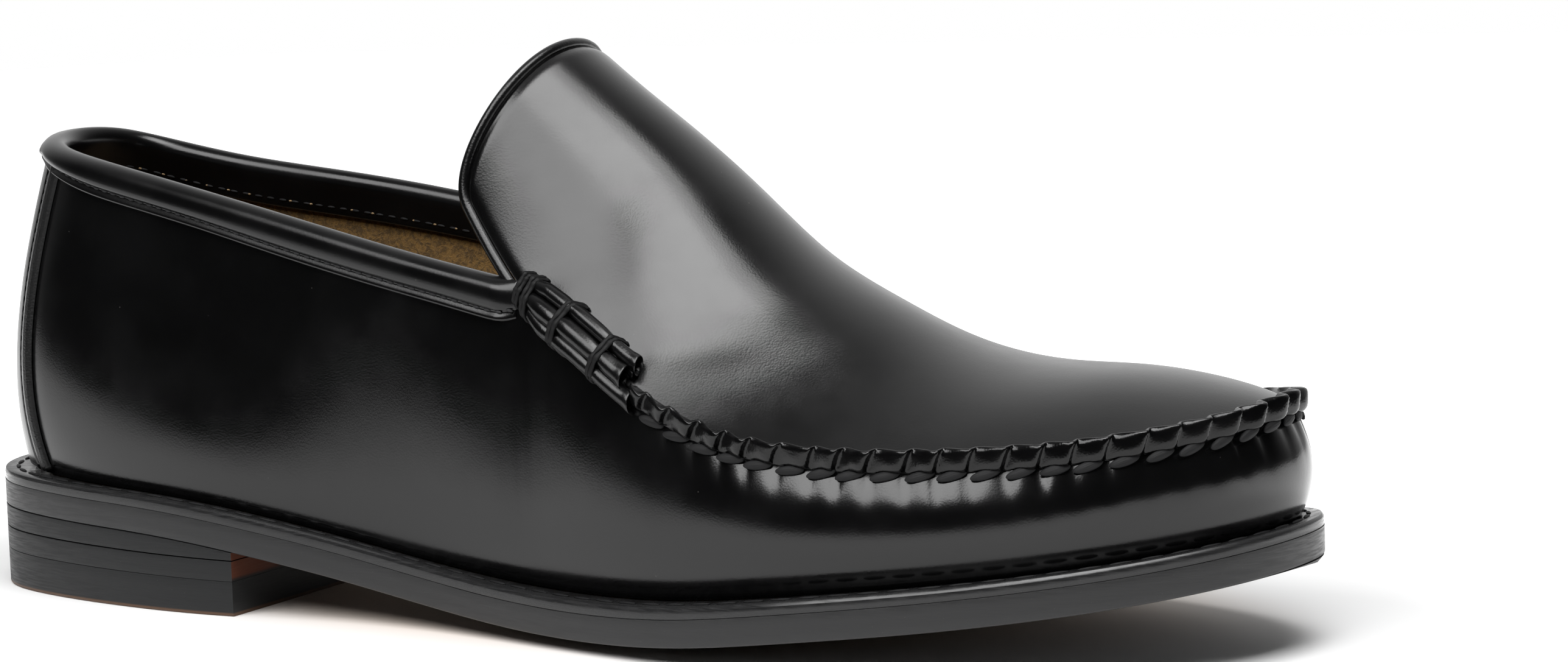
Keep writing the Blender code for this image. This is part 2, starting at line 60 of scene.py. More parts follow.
# %% Sizes of the bottom
MM = 0.001
GAP = 0.3
WALL = 2.0
OUTSOLE_THICK = 5.2
WELT_THICK = 2.3
WELT_SETBACK = 0.1
WELT_UNDER_UPPER = 3.2
INSOLE_THICK = 4.6
INSOLE_SETBACK = 4.0
BREAST_ROW = 4.18
HEEL_TOP_PIECE = (8.2, 7.3)
HEEL_LOWER_LIFT = (13.2, 11.7)

SOLE = (
    # x, outer, inner, outer_inset, inner_inset
    (0.0, 0.0, 0.0, 7.4, 7.4),
    (7.0, -20.1, 20.9, 6.8, 6.8),
    (24.0, -30.2, 32.0, 5.4, 5.4),
    (48.0, -35.7, 34.8, 4.6, 4.4),
    (76.0, -37.8, 30.8, 4.8, 3.6),
    (104.0, -35.7, 26.9, 4.6, 2.8),
    (130.0, -36.9, 27.3, 5.0, 3.2),
    (152.0, -41.4, 31.6, 6.0, 4.4),
    (168.0, -45.2, 37.1, 6.4, 5.6),
    (186.0, -48.7, 43.1, 6.6, 6.4),
    (205.0, -50.5, 47.2, 6.6, 6.6),
    (225.0, -50.0, 47.8, 6.5, 6.6),
    (247.0, -46.1, 44.6, 6.2, 6.3),
    (268.0, -37.7, 39.0, 5.8, 5.9),
    (284.0, -26.5, 31.2, 5.4, 5.5),
    (295.5, -12.0, 20.0, 5.0, 5.1),
    (300.0, 5.0, 5.0, 4.8, 4.8),
)

EDGE = (
    # x, edge height, crown depth
    (0.0, 17.9, 0.0),
    (40.0, 16.6, 0.0),
    (75.0, 14.2, 0.0),
    (115.0, 7.2, 1.0),
    (150.0, 2.9, 3.4),
    (185.0, 3.0, 3.4),
    (215.0, 6.2, 2.8),
    (250.0, 10.3, 2.4),
    (280.0, 14.2, 1.4),
    (300.0, 17.5, 0.6),
)

# %% [markdown]
# The upper is worked out from three more tables: how its wall bulges over each station, where the
# collar line runs, and where the apron has its edges and its ridge. A shoemaker reads the same
# numbers off the last.

# %% Sizes of the upper
WALL_SHAPE = (
    # foot_out, foot_up, top_out, top_down
    (6.0, 22.0, 8.0, 25.0),
    (5.6, 21.0, 7.6, 25.0),
    (4.8, 19.0, 6.0, 25.0),
    (3.8, 16.5, 3.8, 24.0),
    (3.0, 14.5, 2.2, 23.0),
    (3.0, 13.0, 1.5, 21.0),
    (3.5, 12.0, 1.5, 18.0),
    (4.5, 11.0, 2.0, 16.0),
    (5.0, 10.0, 2.5, 13.0),
    (5.2, 9.5, 3.0, 10.5),
    (5.2, 9.0, 3.5, 9.0),
    (5.0, 8.5, 3.8, 8.5),
    (4.6, 8.0, 3.8, 8.0),
    (4.2, 7.5, 3.6, 7.5),
    (3.8, 7.0, 3.4, 7.0),
    (3.6, 7.0, 3.2, 7.0),
    (3.5, 7.0, 3.0, 7.0),
)

COLLAR = (
    # outer x, y, z, inner x, y, z
    (15.0, 0.0, 97.0, 15.0, 0.0, 97.0),
    (17.5, -9.8, 96.2, 17.5, 9.8, 96.6),
    (26.0, -18.8, 94.0, 25.0, 18.6, 94.0),
    (44.5, -25.0, 90.6, 44.5, 23.8, 89.4),
    (70.5, -28.0, 85.2, 70.5, 26.6, 85.6),
    (97.5, -30.0, 79.2, 97.5, 28.4, 81.4),
    (124.0, -31.7, 73.4, 124.0, 30.4, 76.0),
    (152.4, -33.4, 68.0, 152.4, 32.8, 69.8),
)

APRON = (
    # outer x, y, z, ridge x, y, z, inner x, y, z, rise, edge_full, crown_full
    (131.0, -26.6, 95.0, 147.0, 0.0, 115.6, 131.0, 26.6, 95.2, 76.0, 0.48, 0.58),
    (139.6, -29.4, 82.6, 158.0, 0.5, 106.8, 139.6, 29.0, 83.6, 72.0, 0.45, 0.57),
    (152.4, -33.4, 68.0, 170.5, 1.0, 97.2, 152.4, 32.8, 69.8, 66.0, 0.42, 0.56),
    (165.5, -37.6, 60.4, 184.0, 1.0, 85.8, 164.0, 36.2, 62.0, 60.0, 0.42, 0.54),
    (181.5, -41.0, 50.4, 198.0, 1.2, 73.4, 180.0, 38.8, 52.4, 54.0, 0.42, 0.52),
    (200.0, -42.8, 42.8, 213.5, 1.6, 64.4, 199.0, 41.0, 44.6, 46.0, 0.40, 0.50),
    (221.0, -42.4, 40.0, 229.0, 2.2, 57.2, 220.0, 41.6, 41.2, 38.0, 0.40, 0.48),
    (243.0, -39.2, 40.0, 246.0, 3.0, 53.4, 242.0, 39.8, 40.8, 34.0, 0.40, 0.48),
    (264.0, -32.6, 41.2, 263.0, 4.0, 52.8, 263.0, 35.6, 41.8, 30.0, 0.40, 0.48),
    (279.5, -23.4, 43.2, 277.0, 5.0, 51.2, 279.5, 29.0, 43.4, 28.0, 0.40, 0.48),
    (289.8, -10.5, 45.2, 287.6, 5.4, 48.8, 289.8, 19.0, 45.2, 26.0, 0.40, 0.48),
    (293.8, 4.6, 46.6, 293.8, 4.6, 46.6, 293.8, 4.6, 46.6, 24.0, 0.40, 0.48),
)

TIP_ROW = len(SOLE) - 1
THROAT_ROW = len(COLLAR) - 1
APRON_TIP = len(APRON) - 1
APRON_THROAT = APRON_TIP - (TIP_ROW - THROAT_ROW)
SOLE_LOOP = 2 * TIP_ROW
APRON_LOOP = 2 * APRON_TIP
STEP = 0.01
TINY = 1e-9
EDGE_HANDLE_MOST = 0.75
TONGUE_ROUND = 0.85
TONGUE_SQUARE = 2.3
UP = np.array([0.0, 0.0, 1.0])

# %% [markdown]
# Every line of a shoe is a fair curve. A cubic B-spline through the rows of a table gives one, and
# its place counts rows, so place 3.5 lies halfway between the fourth and fifth rows. Blender's own
# curve objects could do it too, but a function can be asked for any point, and that is what all
# the later pieces need.

# %% Fair curves through the tables
def curve(rows, closed=False):
    rows = np.array(rows, float)
    count = len(rows)
    weights = (4 * np.eye(count) + np.eye(count, k=1) + np.eye(count, k=-1)) / 6
    if closed:
        weights[0, -1] = weights[-1, 0] = 1 / 6
    else:
        weights[0] = np.eye(count)[0]
        weights[-1] = np.eye(count)[-1]
    controls = np.linalg.solve(weights, rows)
    if closed:
        controls = np.vstack([controls[-1:], controls, controls[:2]])
    else:
        before = 2 * controls[:1] - controls[1:2]
        after = 2 * controls[-1:] - controls[-2:-1]
        controls = np.vstack([before, controls, after])

    def at(place):
        place = np.asarray(place, float)
        place = place % count if closed else np.clip(place, 0, count - 1)
        first = np.minimum(np.floor(place).astype(int), len(controls) - 4)
        part = (place - first)[..., None]
        return (
            (1 - part) ** 3 * controls[first]
            + (3 * part**3 - 6 * part**2 + 4) * controls[first + 1]
            + (-3 * part**3 + 3 * part**2 + 3 * part + 1) * controls[first + 2]
            + part**3 * controls[first + 3]
        ) / 6

    return at


def both_sides(outer, inner):
    return list(outer) + list(inner)[-2:0:-1]


def fine_rows(rows, count):
    return curve(rows)(np.linspace(0, len(rows) - 1, count))


def smooth(part):
    part = np.clip(part, 0, 1)
    return part * part * (3 - 2 * part)


def unit(vectors):
    return vectors / np.maximum(np.linalg.norm(vectors, axis=-1, keepdims=True), TINY)


def along_line(line, places, step=STEP):
    return unit(line(places + step) - line(places - step))


sole_line = curve(both_sides([r[:2] for r in SOLE], [(r[0], r[2]) for r in SOLE]), closed=True)
inset_line = curve(both_sides([r[3:4] for r in SOLE], [r[4:5] for r in SOLE]), closed=True)
shape_line = curve(both_sides(WALL_SHAPE, WALL_SHAPE), closed=True)
collar_line = curve([r[:3] for r in COLLAR[::-1]] + [r[3:] for r in COLLAR[1:]])
apron_edge = curve([r[:3] for r in APRON] + [r[6:9] for r in APRON[-2::-1]])
apron_ridge = curve([r[3:6] for r in APRON])
apron_shape = curve([r[9:] for r in APRON])
edge_rows = fine_rows(EDGE, 400)
print("the sole's outline passes", SOLE_LOOP, "places and the apron's edge", APRON_LOOP)

# %% [markdown]
# The frame is centred on the shoe, and the tables start at its heel. The outsole's box gives the
# shift between the two, so the dressed pieces land on the solids with no fitting.

# %% From the shoemaker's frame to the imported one
outline_rows = sole_line(np.arange(0, SOLE_LOOP, 0.5))
sole_low = np.array(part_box("outsole")[0])
SHIFT = np.array([sole_low[0] / MM, sole_low[1] / MM - outline_rows[:, 1].min(), 0.0])


def to_frame(points):
    return (np.asarray(points) + SHIFT) * MM


print("shift in millimetres:", SHIFT.round(2).tolist())

# %% [markdown]
# The upper stands on the welt along its foot line and ends at the collar and the apron's edge.
# Between them each rib is a Bezier arc. The apron and its tongue are arcs too, from one edge over
# the ridge to the other.

# %% The upper's two surfaces
def edge_height(x):
    return np.interp(x, edge_rows[:, 0], edge_rows[:, 1])


def crown_depth(x):
    return np.interp(x, edge_rows[:, 0], edge_rows[:, 2])


def sole_outwards(place):
    place = np.asarray(place, float)
    along = along_line(sole_line, place)
    return np.stack([along[..., 1], -along[..., 0], np.zeros(place.shape)], axis=-1)


def sole_outline(place, inset=0.0):
    return sole_line(place) - sole_outwards(place)[..., :2] * np.asarray(inset)[..., None]


def foot_line(place):
    foot = sole_outline(place, inset_line(place)[..., 0])
    rise = edge_height(foot[..., 0]) + OUTSOLE_THICK + GAP + WELT_THICK + GAP
    return np.concatenate([foot, rise[..., None]], axis=-1)


def signed_place(place):
    place = np.asarray(place, float) % SOLE_LOOP
    return np.where(place > TIP_ROW, place - SOLE_LOOP, place)


def seam_place(place):
    return np.asarray(place, float) % SOLE_LOOP - THROAT_ROW + APRON_THROAT


def top_line(place):
    signed = signed_place(place)
    collar = collar_line(THROAT_ROW - signed)
    front = apron_edge(np.clip(seam_place(place), 0, APRON_LOOP))
    return np.where((np.abs(signed) <= THROAT_ROW)[..., None], collar, front)


def bezier(a, b, c, d, part):
    part = np.asarray(part, float)[..., None]
    rest = 1 - part
    return rest**3 * a + 3 * part * rest**2 * b + 3 * part**2 * rest * c + part**3 * d


def wall_point(place, height):
    foot = foot_line(place)
    top = top_line(place)
    out = sole_outwards(place)
    shape = shape_line(place)
    low = foot + out * shape[..., 0:1] + UP * shape[..., 1:2]
    high = top + out * shape[..., 2:3] - UP * shape[..., 3:4]
    return bezier(foot, low, high, top, height)


def apron_point(place, across):
    place = np.asarray(place, float)
    across = np.asarray(across, float)
    outer = apron_edge(place)
    inner = apron_edge(APRON_LOOP - place)
    ridge = apron_ridge(place)
    shape = apron_shape(place)
    middle = (outer + inner) / 2
    half = (outer - inner) / 2
    side = np.where((across < 0)[..., None], 1.0, -1.0)
    edge = np.where((across < 0)[..., None], outer, inner)
    rise = ridge - middle
    width = np.linalg.norm(half, axis=-1, keepdims=True)
    height = np.linalg.norm(rise, axis=-1, keepdims=True)
    angle = np.radians(shape[..., 0:1])
    reach = np.minimum(shape[..., 1:2] * height / np.sin(angle), EDGE_HANDLE_MOST * width / np.cos(angle))
    start = -unit(half) * side * np.cos(angle) + unit(rise) * np.sin(angle)
    crown = ridge + half * side * shape[..., 2:3]
    return bezier(edge, edge + start * reach, crown, ridge, 1 - np.abs(across))


def tongue_end(across):
    return TONGUE_ROUND * (1 - (1 - np.abs(across) ** TONGUE_SQUARE) ** (1 / TONGUE_SQUARE))


def rounded_row(place, across):
    return place + tongue_end(across) * np.clip(1 - place / APRON_THROAT, 0, 1)


# %% [markdown]
# Stitches, seams and bindings are laid out by a maker in millimetres along and below an edge, so
# the next helpers turn such lengths into places: a point below the top line, a point near the
# apron's seam, and evenly paced places along any line.

# %% Measuring along the surfaces
LIMITS = {wall_point: (0.0, 1.0), apron_point: (-1.0, 1.0)}
RIB_POINTS = 80
LINE_POINTS = 2000
NEAR_TOP = 0.98
BELOW_SEAM = 0.9
SEAM_TURN = 4.0


def normals(surface, first, second):
    first, second = np.broadcast_arrays(np.asarray(first, float), np.asarray(second, float))
    along = surface(first + STEP, second) - surface(first - STEP, second)
    low = np.clip(second - STEP, *LIMITS[surface])
    high = np.clip(second + STEP, *LIMITS[surface])
    return unit(np.cross(along, surface(first, high) - surface(first, low)))


def below_top(place, depth):
    place, depth = np.broadcast_arrays(np.asarray(place, float), np.asarray(depth, float))
    columns, which = np.unique(place.round(6), return_inverse=True)
    heights = np.linspace(0, 1, RIB_POINTS)
    ribs = wall_point(columns[:, None], heights[None, :])
    steps = np.linalg.norm(np.diff(ribs, axis=1), axis=-1)
    lengths = np.concatenate([np.zeros((len(columns), 1)), np.cumsum(steps, axis=1)], axis=1)
    rib = lengths[which.ravel()]
    target = rib[:, -1] - depth.ravel()
    index = np.clip((rib < target[:, None]).sum(1), 1, len(heights) - 1)
    rows = np.arange(len(index))
    before = rib[rows, index - 1]
    part = (target - before) / np.maximum(rib[rows, index] - before, TINY)
    return (heights[index - 1] + part * heights[1]).clip(0, 1).reshape(place.shape)


def collar_point(place, depth, off):
    height = below_top(place, np.maximum(depth, 0.0))
    normal = normals(wall_point, place, height)
    upwards = unit(wall_point(place, 1.0) - wall_point(place, NEAR_TOP))
    beyond = np.minimum(depth, 0.0)[..., None]
    return wall_point(place, height) + normal * np.asarray(off)[..., None] - upwards * beyond


def seam_frame(place):
    edge = apron_edge(place)
    along = along_line(apron_edge, place)
    down = unit(wall_point(place - APRON_THROAT + THROAT_ROW, BELOW_SEAM) - edge)
    angle = np.radians(apron_shape(np.minimum(place, APRON_LOOP - place))[..., 0:1])
    level_in = unit(np.cross(UP, along))
    inwards = unit(level_in * np.cos(angle) + UP * np.sin(angle))
    return edge, along, down, inwards


def seam_point(place, arc, height):
    edge, along, down, inwards = seam_frame(place)
    arc = np.asarray(arc, float)[..., None]
    blend = np.clip(0.5 + arc / SEAM_TURN, 0, 1)
    normal = unit(unit(np.cross(down, along)) * (1 - blend) + unit(np.cross(along, inwards)) * blend)
    aside = np.where(arc > 0, inwards * arc, -down * arc)
    return edge + aside + normal * np.asarray(height)[..., None]


def paced(line, first, last, pitch, shift=0.5):
    places = np.linspace(first, last, LINE_POINTS)
    steps = np.linalg.norm(np.diff(line(places), axis=0), axis=1)
    lengths = np.concatenate([[0.0], np.cumsum(steps)])
    count = max(int(lengths[-1] / pitch), 1)
    return np.interp((np.arange(count) + shift) * lengths[-1] / count, lengths, places)


print("collar length in millimetres:", len(paced(collar_line, 0, 2 * THROAT_ROW, 1.0)))

# %% [markdown]
# A swept surface starts as a flat grid from bmesh, whose corners are then carried to their places
# by a function of two shares, along and round. Doubled corners are merged, and open ends can be
# closed with a face. These helpers make the skins, bindings, pipings, plates and welts.

# %% Surfaces from a mapped grid
MERGE = 0.005


def placed(name, data):
    thing = bpy.data.objects.new(name, data)
    bpy.context.scene.collection.objects.link(thing)
    return thing


def finish_piece(name, mesh, material, slot="black_leather", replaces=()):
    data = bpy.data.meshes.new(name)
    mesh.to_mesh(data)
    mesh.free()
    piece = placed(name, data)
    data.materials.append(material)
    data.shade_smooth()
    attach(piece, "root")
    if replaces:
        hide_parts(*replaces)
    print(name, "has", len(data.polygons), "faces")
    return piece


def mapped_grid(columns, rows, surface):
    mesh = bmesh.new()
    marks = [mesh.verts.layers.float.new(key) for key in ("along", "round")]
    bmesh.ops.create_grid(mesh, x_segments=columns, y_segments=rows, size=0.5)
    shares = np.array([vertex.co[:2] for vertex in mesh.verts]) + 0.5
    places = to_frame(surface(shares[:, 0], shares[:, 1]))
    for vertex, place, share in zip(mesh.verts, places, shares):
        vertex.co = place
        vertex[marks[0]] = share[0]
        vertex[marks[1]] = share[1]
    bmesh.ops.remove_doubles(mesh, verts=mesh.verts, dist=MERGE * MM)
    bmesh.ops.dissolve_degenerate(mesh, edges=mesh.edges, dist=MERGE * MM)
    return mesh


def close_ends(mesh):
    rim = [edge for edge in mesh.edges if edge.is_boundary]
    bmesh.ops.holes_fill(mesh, edges=rim, sides=0)


def outward(mesh):
    bmesh.ops.recalc_face_normals(mesh, faces=mesh.faces)
    if mesh.calc_volume(signed=True) < 0:
        bmesh.ops.reverse_faces(mesh, faces=mesh.faces)
    return mesh


def absorb(whole, part):
    spare = bpy.data.meshes.new("part")
    part.to_mesh(spare)
    part.free()
    whole.from_mesh(spare)
    bpy.data.meshes.remove(spare)


def ring_body(name, columns, sides, section, material, **options):
    mesh = mapped_grid(columns, sides, section)
    close_ends(mesh)
    return finish_piece(name, outward(mesh), material, **options)


# %% [markdown]
# A stitch is a small stretched sphere. Each one is placed by its centre, the way the thread runs and
# the way the surface faces, and a whole row of stitches is joined in one mesh.

# %% Rows of stitches
def stitch_row(name, centres, along, normal, size, material, fineness=(8, 6), **options):
    segments, rings = fineness
    mesh = bmesh.new()
    turn = mesh.verts.layers.float.new("round")
    side = unit(np.cross(normal, along))
    up = np.cross(along, side)
    for centre, *axes in zip(to_frame(centres), side, up, unit(along)):
        matrix = np.eye(4)
        matrix[:3, :3] = np.column_stack([axis * reach * MM for axis, reach in zip(axes, size)])
        matrix[:3, 3] = centre
        made = bmesh.ops.create_uvsphere(
            mesh, u_segments=segments, v_segments=rings, radius=1.0, matrix=Matrix(matrix.tolist())
        )
        for vertex in made["verts"]:
            from_centre = np.array(vertex.co) - centre
            vertex[turn] = abs(math.atan2(from_centre @ axes[1], from_centre @ axes[0])) / math.pi
    return finish_piece(name, outward(mesh), material, **options)


# %% [markdown]
# Shader sums are easier to read as Python. A small class stands for one socket and turns +, * and
# **, from either side, into Math nodes, and one method of a Nodes object adds any other node. Every finish and the
# light of the room are made of these two.

# %% Shader expressions
class Value:
    def __init__(self, nodes, socket):
        self.nodes = nodes
        self.socket = socket

    def maths(self, operation, first, second):
        return self.nodes.node("ShaderNodeMath", {"operation": operation}, {0: first, 1: second})

    def __add__(self, other):
        return self.maths("ADD", self, other)

    def __mul__(self, other):
        return self.maths("MULTIPLY", self, other)

    def __pow__(self, other):
        return self.maths("POWER", self, other)

    def __rpow__(self, other):
        return self.maths("POWER", other, self)

    __radd__ = __add__
    __rmul__ = __mul__


class Nodes:
    def __init__(self, owner):
        owner.use_nodes = True
        self.tree = owner.node_tree

    def node(self, kind, settings=None, values=None, output=0):
        made = self.tree.nodes.new(kind)
        for key, setting in (settings or {}).items():
            setattr(made, key, setting)
        for key, value in (values or {}).items():
            if isinstance(value, Value):
                self.tree.links.new(value.socket, made.inputs[key])
            else:
                made.inputs[key].default_value = value
        return Value(self, made.outputs[output])


class Finish(Nodes):
    def __init__(self, name, colour, roughness, **constants):
        self.material = bpy.data.materials.new(name)
        super().__init__(self.material)
        self.shader = self.tree.nodes["Principled BSDF"]
        self.shader.inputs["Base Color"].default_value = (*colour, 1.0)
        self.shader.inputs["Roughness"].default_value = roughness
        for key, value in constants.items():
            self.shader.inputs[key.replace("_", " ")].default_value = value

    def where(self, stretch=(1 / MM,) * 3, shift=(0.0, 0.0, 0.0)):
        spot = self.node("ShaderNodeTexCoord", output="Object")
        return self.node("ShaderNodeMapping", {}, {"Vector": spot, "Scale": stretch, "Location": shift})

    def noise(self, size, detail=2.0, rough=0.5, where=None, swirl=0.0):
        inputs = {"Vector": where or self.where(), "Scale": 1 / size, "Detail": detail}
        return self.node("ShaderNodeTexNoise", {}, {**inputs, "Roughness": rough, "Distortion": swirl})

    def cells(self, size):
        inputs = {"Vector": self.where(), "Scale": 1 / size}
        return self.node("ShaderNodeTexVoronoi", {}, inputs, "Distance")

    def axis(self, vector, index):
        return self.node("ShaderNodeSeparateXYZ", {}, {0: vector}, index)

    def mark(self, name):
        return self.node("ShaderNodeAttribute", {"attribute_name": name}, output="Fac")

    def ease(self, value, low, high, first=0.0, last=1.0):
        ends = {"Value": value, "From Min": low, "From Max": high, "To Min": first, "To Max": last}
        return self.node("ShaderNodeMapRange", {"interpolation_type": "SMOOTHSTEP"}, ends)

    def blend(self, share, first, last):
        colours = [c if isinstance(c, Value) else (*c, 1.0) for c in (first, last)]
        return self.node("ShaderNodeMix", {"data_type": "RGBA"}, {0: share, 6: colours[0], 7: colours[1]}, 2)

    def bump(self, height, distance, strength=1.0, normal=None):
        values = {"Height": height, "Distance": distance * MM, "Strength": strength}
        if normal:
            values["Normal"] = normal
        return self.node("ShaderNodeBump", {}, values)

    def give(self, **links):
        for key, value in links.items():
            self.tree.links.new(value.socket, self.shader.inputs[key.replace("_", " ")])
        return self.material


# %% [markdown]
# The upper's leather is polished to a hard shine: nearly black, with a fine grain that only shows
# inside the highlights, a soft unevenness of the hide, a thin coat of wax and a few specks of dust.
# Bump carries the grain and roughness the polish; nothing is painted by hand.

# %% Polished black leather
BLACK = (0.002, 0.002, 0.0021)
LIGHTER = 1.5
DUST = (0.16, 0.15, 0.14)
DUST_SPACING = 7.0
DUST_RADII = (0.010, 0.018)
DUST_SHARE = 0.6
WAX = 0.12
WAX_ROUGHNESS = 0.15
PORE_SIZE = 0.42
PORE_SHARE = 0.6
FIBRE_SIZE = 0.16
HIDE_SIZE = 9.0
PATCH_SIZE = 22.0
SMEAR_SIZE = 0.5
SMEAR = 0.03
RIB_STRETCH = 3.0


def shade(tone, factor):
    return tuple(channel * factor for channel in tone)


def ribs_of(leather, count, low):
    place = {0: leather.mark("along") * count, 1: leather.mark("round") * RIB_STRETCH}
    spot = leather.node("ShaderNodeCombineXYZ", {}, place)
    stripes = leather.noise(1.0, 2.0, 0.6, spot)
    return stripes * leather.ease(leather.mark("round"), low, 1.0)


def leather_polish(leather, patches, polish):
    smeared = leather.noise(SMEAR_SIZE, 3.0) * SMEAR
    return leather.ease(patches, 0.3, 0.7, polish - 0.03, polish + 0.05) + smeared


def leather_relief(leather, grain, swell, ribs):
    pores = leather.cells(PORE_SIZE) * PORE_SHARE
    fine = pores + leather.noise(FIBRE_SIZE, 2.0) * (1 - PORE_SHARE)
    surface = leather.bump(leather.noise(HIDE_SIZE, 2.0, 0.45), swell)
    surface = leather.bump(fine, grain, 0.6, surface)
    if ribs:
        count, height, low = ribs
        surface = leather.bump(ribs_of(leather, count, low), height, 1.0, surface)
    return surface


def black_leather(name, polish=0.17, grain=0.018, swell=0.03, ribs=None, gloss=0.5, wax=0.0):
    coat = {"Coat_Weight": wax, "Coat_Roughness": WAX_ROUGHNESS}
    leather = Finish(name, BLACK, polish, Specular_IOR_Level=gloss, **coat)
    patches = leather.noise(PATCH_SIZE, 3.0, 0.6)
    tone = leather.blend(leather.ease(patches, 0.35, 0.75), BLACK, shade(BLACK, LIGHTER))
    dust = leather.ease(leather.cells(DUST_SPACING), *DUST_RADII, DUST_SHARE, 0.0)
    return leather.give(
        Base_Color=leather.blend(dust, tone, DUST),
        Roughness=leather_polish(leather, patches, polish),
        Normal=leather_relief(leather, grain, swell, ribs),
    )


# name, polish, grain; ribs are a count, a height and the share round where they fade in
apron_leather = black_leather("polished_black_leather", 0.2, 0.025, wax=WAX)
wall_leather = black_leather("puckered_black_leather", ribs=(520, 0.07, 0.8), wax=WAX)
print("finishes of the upper:", apron_leather.name, wall_leather.name)

# %% [markdown]
# The other finishes follow in the same way: the same black leather with less polish for straps,
# strips and strands, the inked edges of sole, welt and heel, tan suede for lining and insole, and
# thread. The heel's breast shows its natural brown, and its lower rim is rubbed.

# %% Trim, edges, lining and thread
INK = (0.018, 0.018, 0.0185)
HEEL_INK = (0.014, 0.0145, 0.015)
BREAST_BROWN = (0.095, 0.030, 0.016)
BREAST_HEIGHTS = (7.4, 8.4)
RUBBED_BROWN = (0.20, 0.10, 0.05)
RUBBED_HEIGHTS = (0.5, 0.9)
STREAK_STRETCH = (60.0, 60.0, 1000.0)
SCUFF = (0.10, 0.095, 0.09)
SCUFF_SPACING = 1.7
SCUFF_RADII = (0.03, 0.09)
SCUFF_SHARE = 0.25
NAP_SIZES = (6.0, 1.1, 0.32)
NAP_HEIGHTS = (0.5, 0.14)
FIBRE_STRETCH = (300.0,) * 3
FIBRE_TURNS = 9.0
FIBRE_HEIGHT = 0.12


def heel_marks(edge, colour):
    facing = edge.axis(edge.node("ShaderNodeTexCoord", output="Normal"), 0)
    height = edge.axis(edge.where(), 2)
    breast = edge.ease(facing, 0.7, 0.9) * edge.ease(height, *BREAST_HEIGHTS)
    colour = edge.blend(breast, colour, BREAST_BROWN)
    return edge.blend(edge.ease(height, *RUBBED_HEIGHTS, 0.5, 0.0), colour, RUBBED_BROWN)


def edge_finish(name, tone, polish, streak, gloss=0.5, heel=False):
    edge = Finish(name, tone, polish, Specular_IOR_Level=gloss)
    lines = edge.noise(0.35, 3.0, 0.6, edge.where(STREAK_STRETCH))
    scuffs = edge.ease(edge.cells(SCUFF_SPACING), *SCUFF_RADII, 1.0, 0.0)
    colour = edge.blend(lines, shade(tone, 0.6), shade(tone, LIGHTER))
    colour = edge.blend(scuffs * SCUFF_SHARE, colour, SCUFF)
    if heel:
        colour = heel_marks(edge, colour)
    relief = edge.bump(lines, streak, 0.8)
    relief = edge.bump(edge.noise(0.25, 2.0), streak * 0.5, 0.5, relief)
    rough = edge.ease(lines, 0.3, 0.7, polish - 0.1, polish + 0.1)
    return edge.give(Base_Color=colour, Roughness=rough, Normal=relief)


def suede(name, tone):
    nap = Finish(name, tone, 0.9, Sheen_Weight=0.15, Sheen_Roughness=0.5)
    cloud = nap.noise(NAP_SIZES[0], 4.0, 0.65)
    tufts = nap.noise(NAP_SIZES[1], 4.0, 0.75, swirl=0.4)
    fuzz = nap.noise(NAP_SIZES[2], 3.0, 0.7)
    colour = nap.blend(cloud, shade(tone, 0.7), shade(tone, 1.3))
    colour = nap.blend(nap.ease(tufts, 0.42, 0.62), colour, shade(tone, 0.45))
    relief = nap.bump(tufts, NAP_HEIGHTS[0], 0.9)
    return nap.give(Base_Color=colour, Normal=nap.bump(fuzz, NAP_HEIGHTS[1], 0.9, relief))


def thread(name, tone, polish=0.6):
    spun = Finish(name, tone, polish, Specular_IOR_Level=0.3)
    turned = spun.node("ShaderNodeCombineXYZ", {}, {0: spun.mark("round") * FIBRE_TURNS})
    inputs = {0: turned, 1: spun.where(FIBRE_STRETCH)}
    spot = spun.node("ShaderNodeVectorMath", {"operation": "ADD"}, inputs)
    fibres = spun.noise(1.0, 3.0, 0.6, spot)
    colour = spun.blend(fibres, shade(tone, 0.5), shade(tone, 1.8))
    return spun.give(Base_Color=colour, Normal=spun.bump(fibres, FIBRE_HEIGHT, 1.0))


# name, polish, grain, swell, ribs
trim_leather = black_leather("black_trim_leather", 0.21, 0.015)
piping_leather = black_leather("piping_leather", 0.24, 0.05, 0.12, (300, 0.03, -1.0))
roll_leather = black_leather("rolled_black_leather", 0.22, 0.03, 0.03, (60, 0.02, -1.0))
bead_leather = black_leather("rubbed_bead_leather", 0.36, 0.16, 0.05)
lip_leather = black_leather("gathered_black_leather", 0.17, 0.03, 0.03, (480, 0.03, -1.0), gloss=0.4)
# name, tone, polish, streaks
sole_ink = edge_finish("inked_sole_edge", INK, 0.42, 0.02)
welt_ink = edge_finish("polished_welt_edge", INK, 0.24, 0.01)
heel_ink = edge_finish("inked_heel_edge", HEEL_INK, 0.46, 0.03, gloss=0.3, heel=True)
tan_suede = suede("tan_suede_lining", (0.22, 0.118, 0.026))
sock_leather = suede("smooth_tan_sock", (0.22, 0.14, 0.07))
seam_thread = thread("matt_seam_thread", (0.008, 0.008, 0.0085))
wrap_thread = thread("dark_wrap_thread", (0.003, 0.003, 0.0032))
fine_thread = thread("fine_grey_thread", (0.026, 0.026, 0.027), 0.45)
tan_thread = thread("tan_thread", (0.28, 0.19, 0.10))
print("all finishes:", len(bpy.data.materials))

# %% [markdown]
# The skin of the upper is two grids: the wall from welt to collar, and the apron with its rounded
# tongue. Near the seam the wall gathers into small puckers, and the apron has soft creases where
# the foot bends it; both are real relief and not paint. Solidify then gives the leather its
# thickness, inwards, so the outside keeps the last's shape.

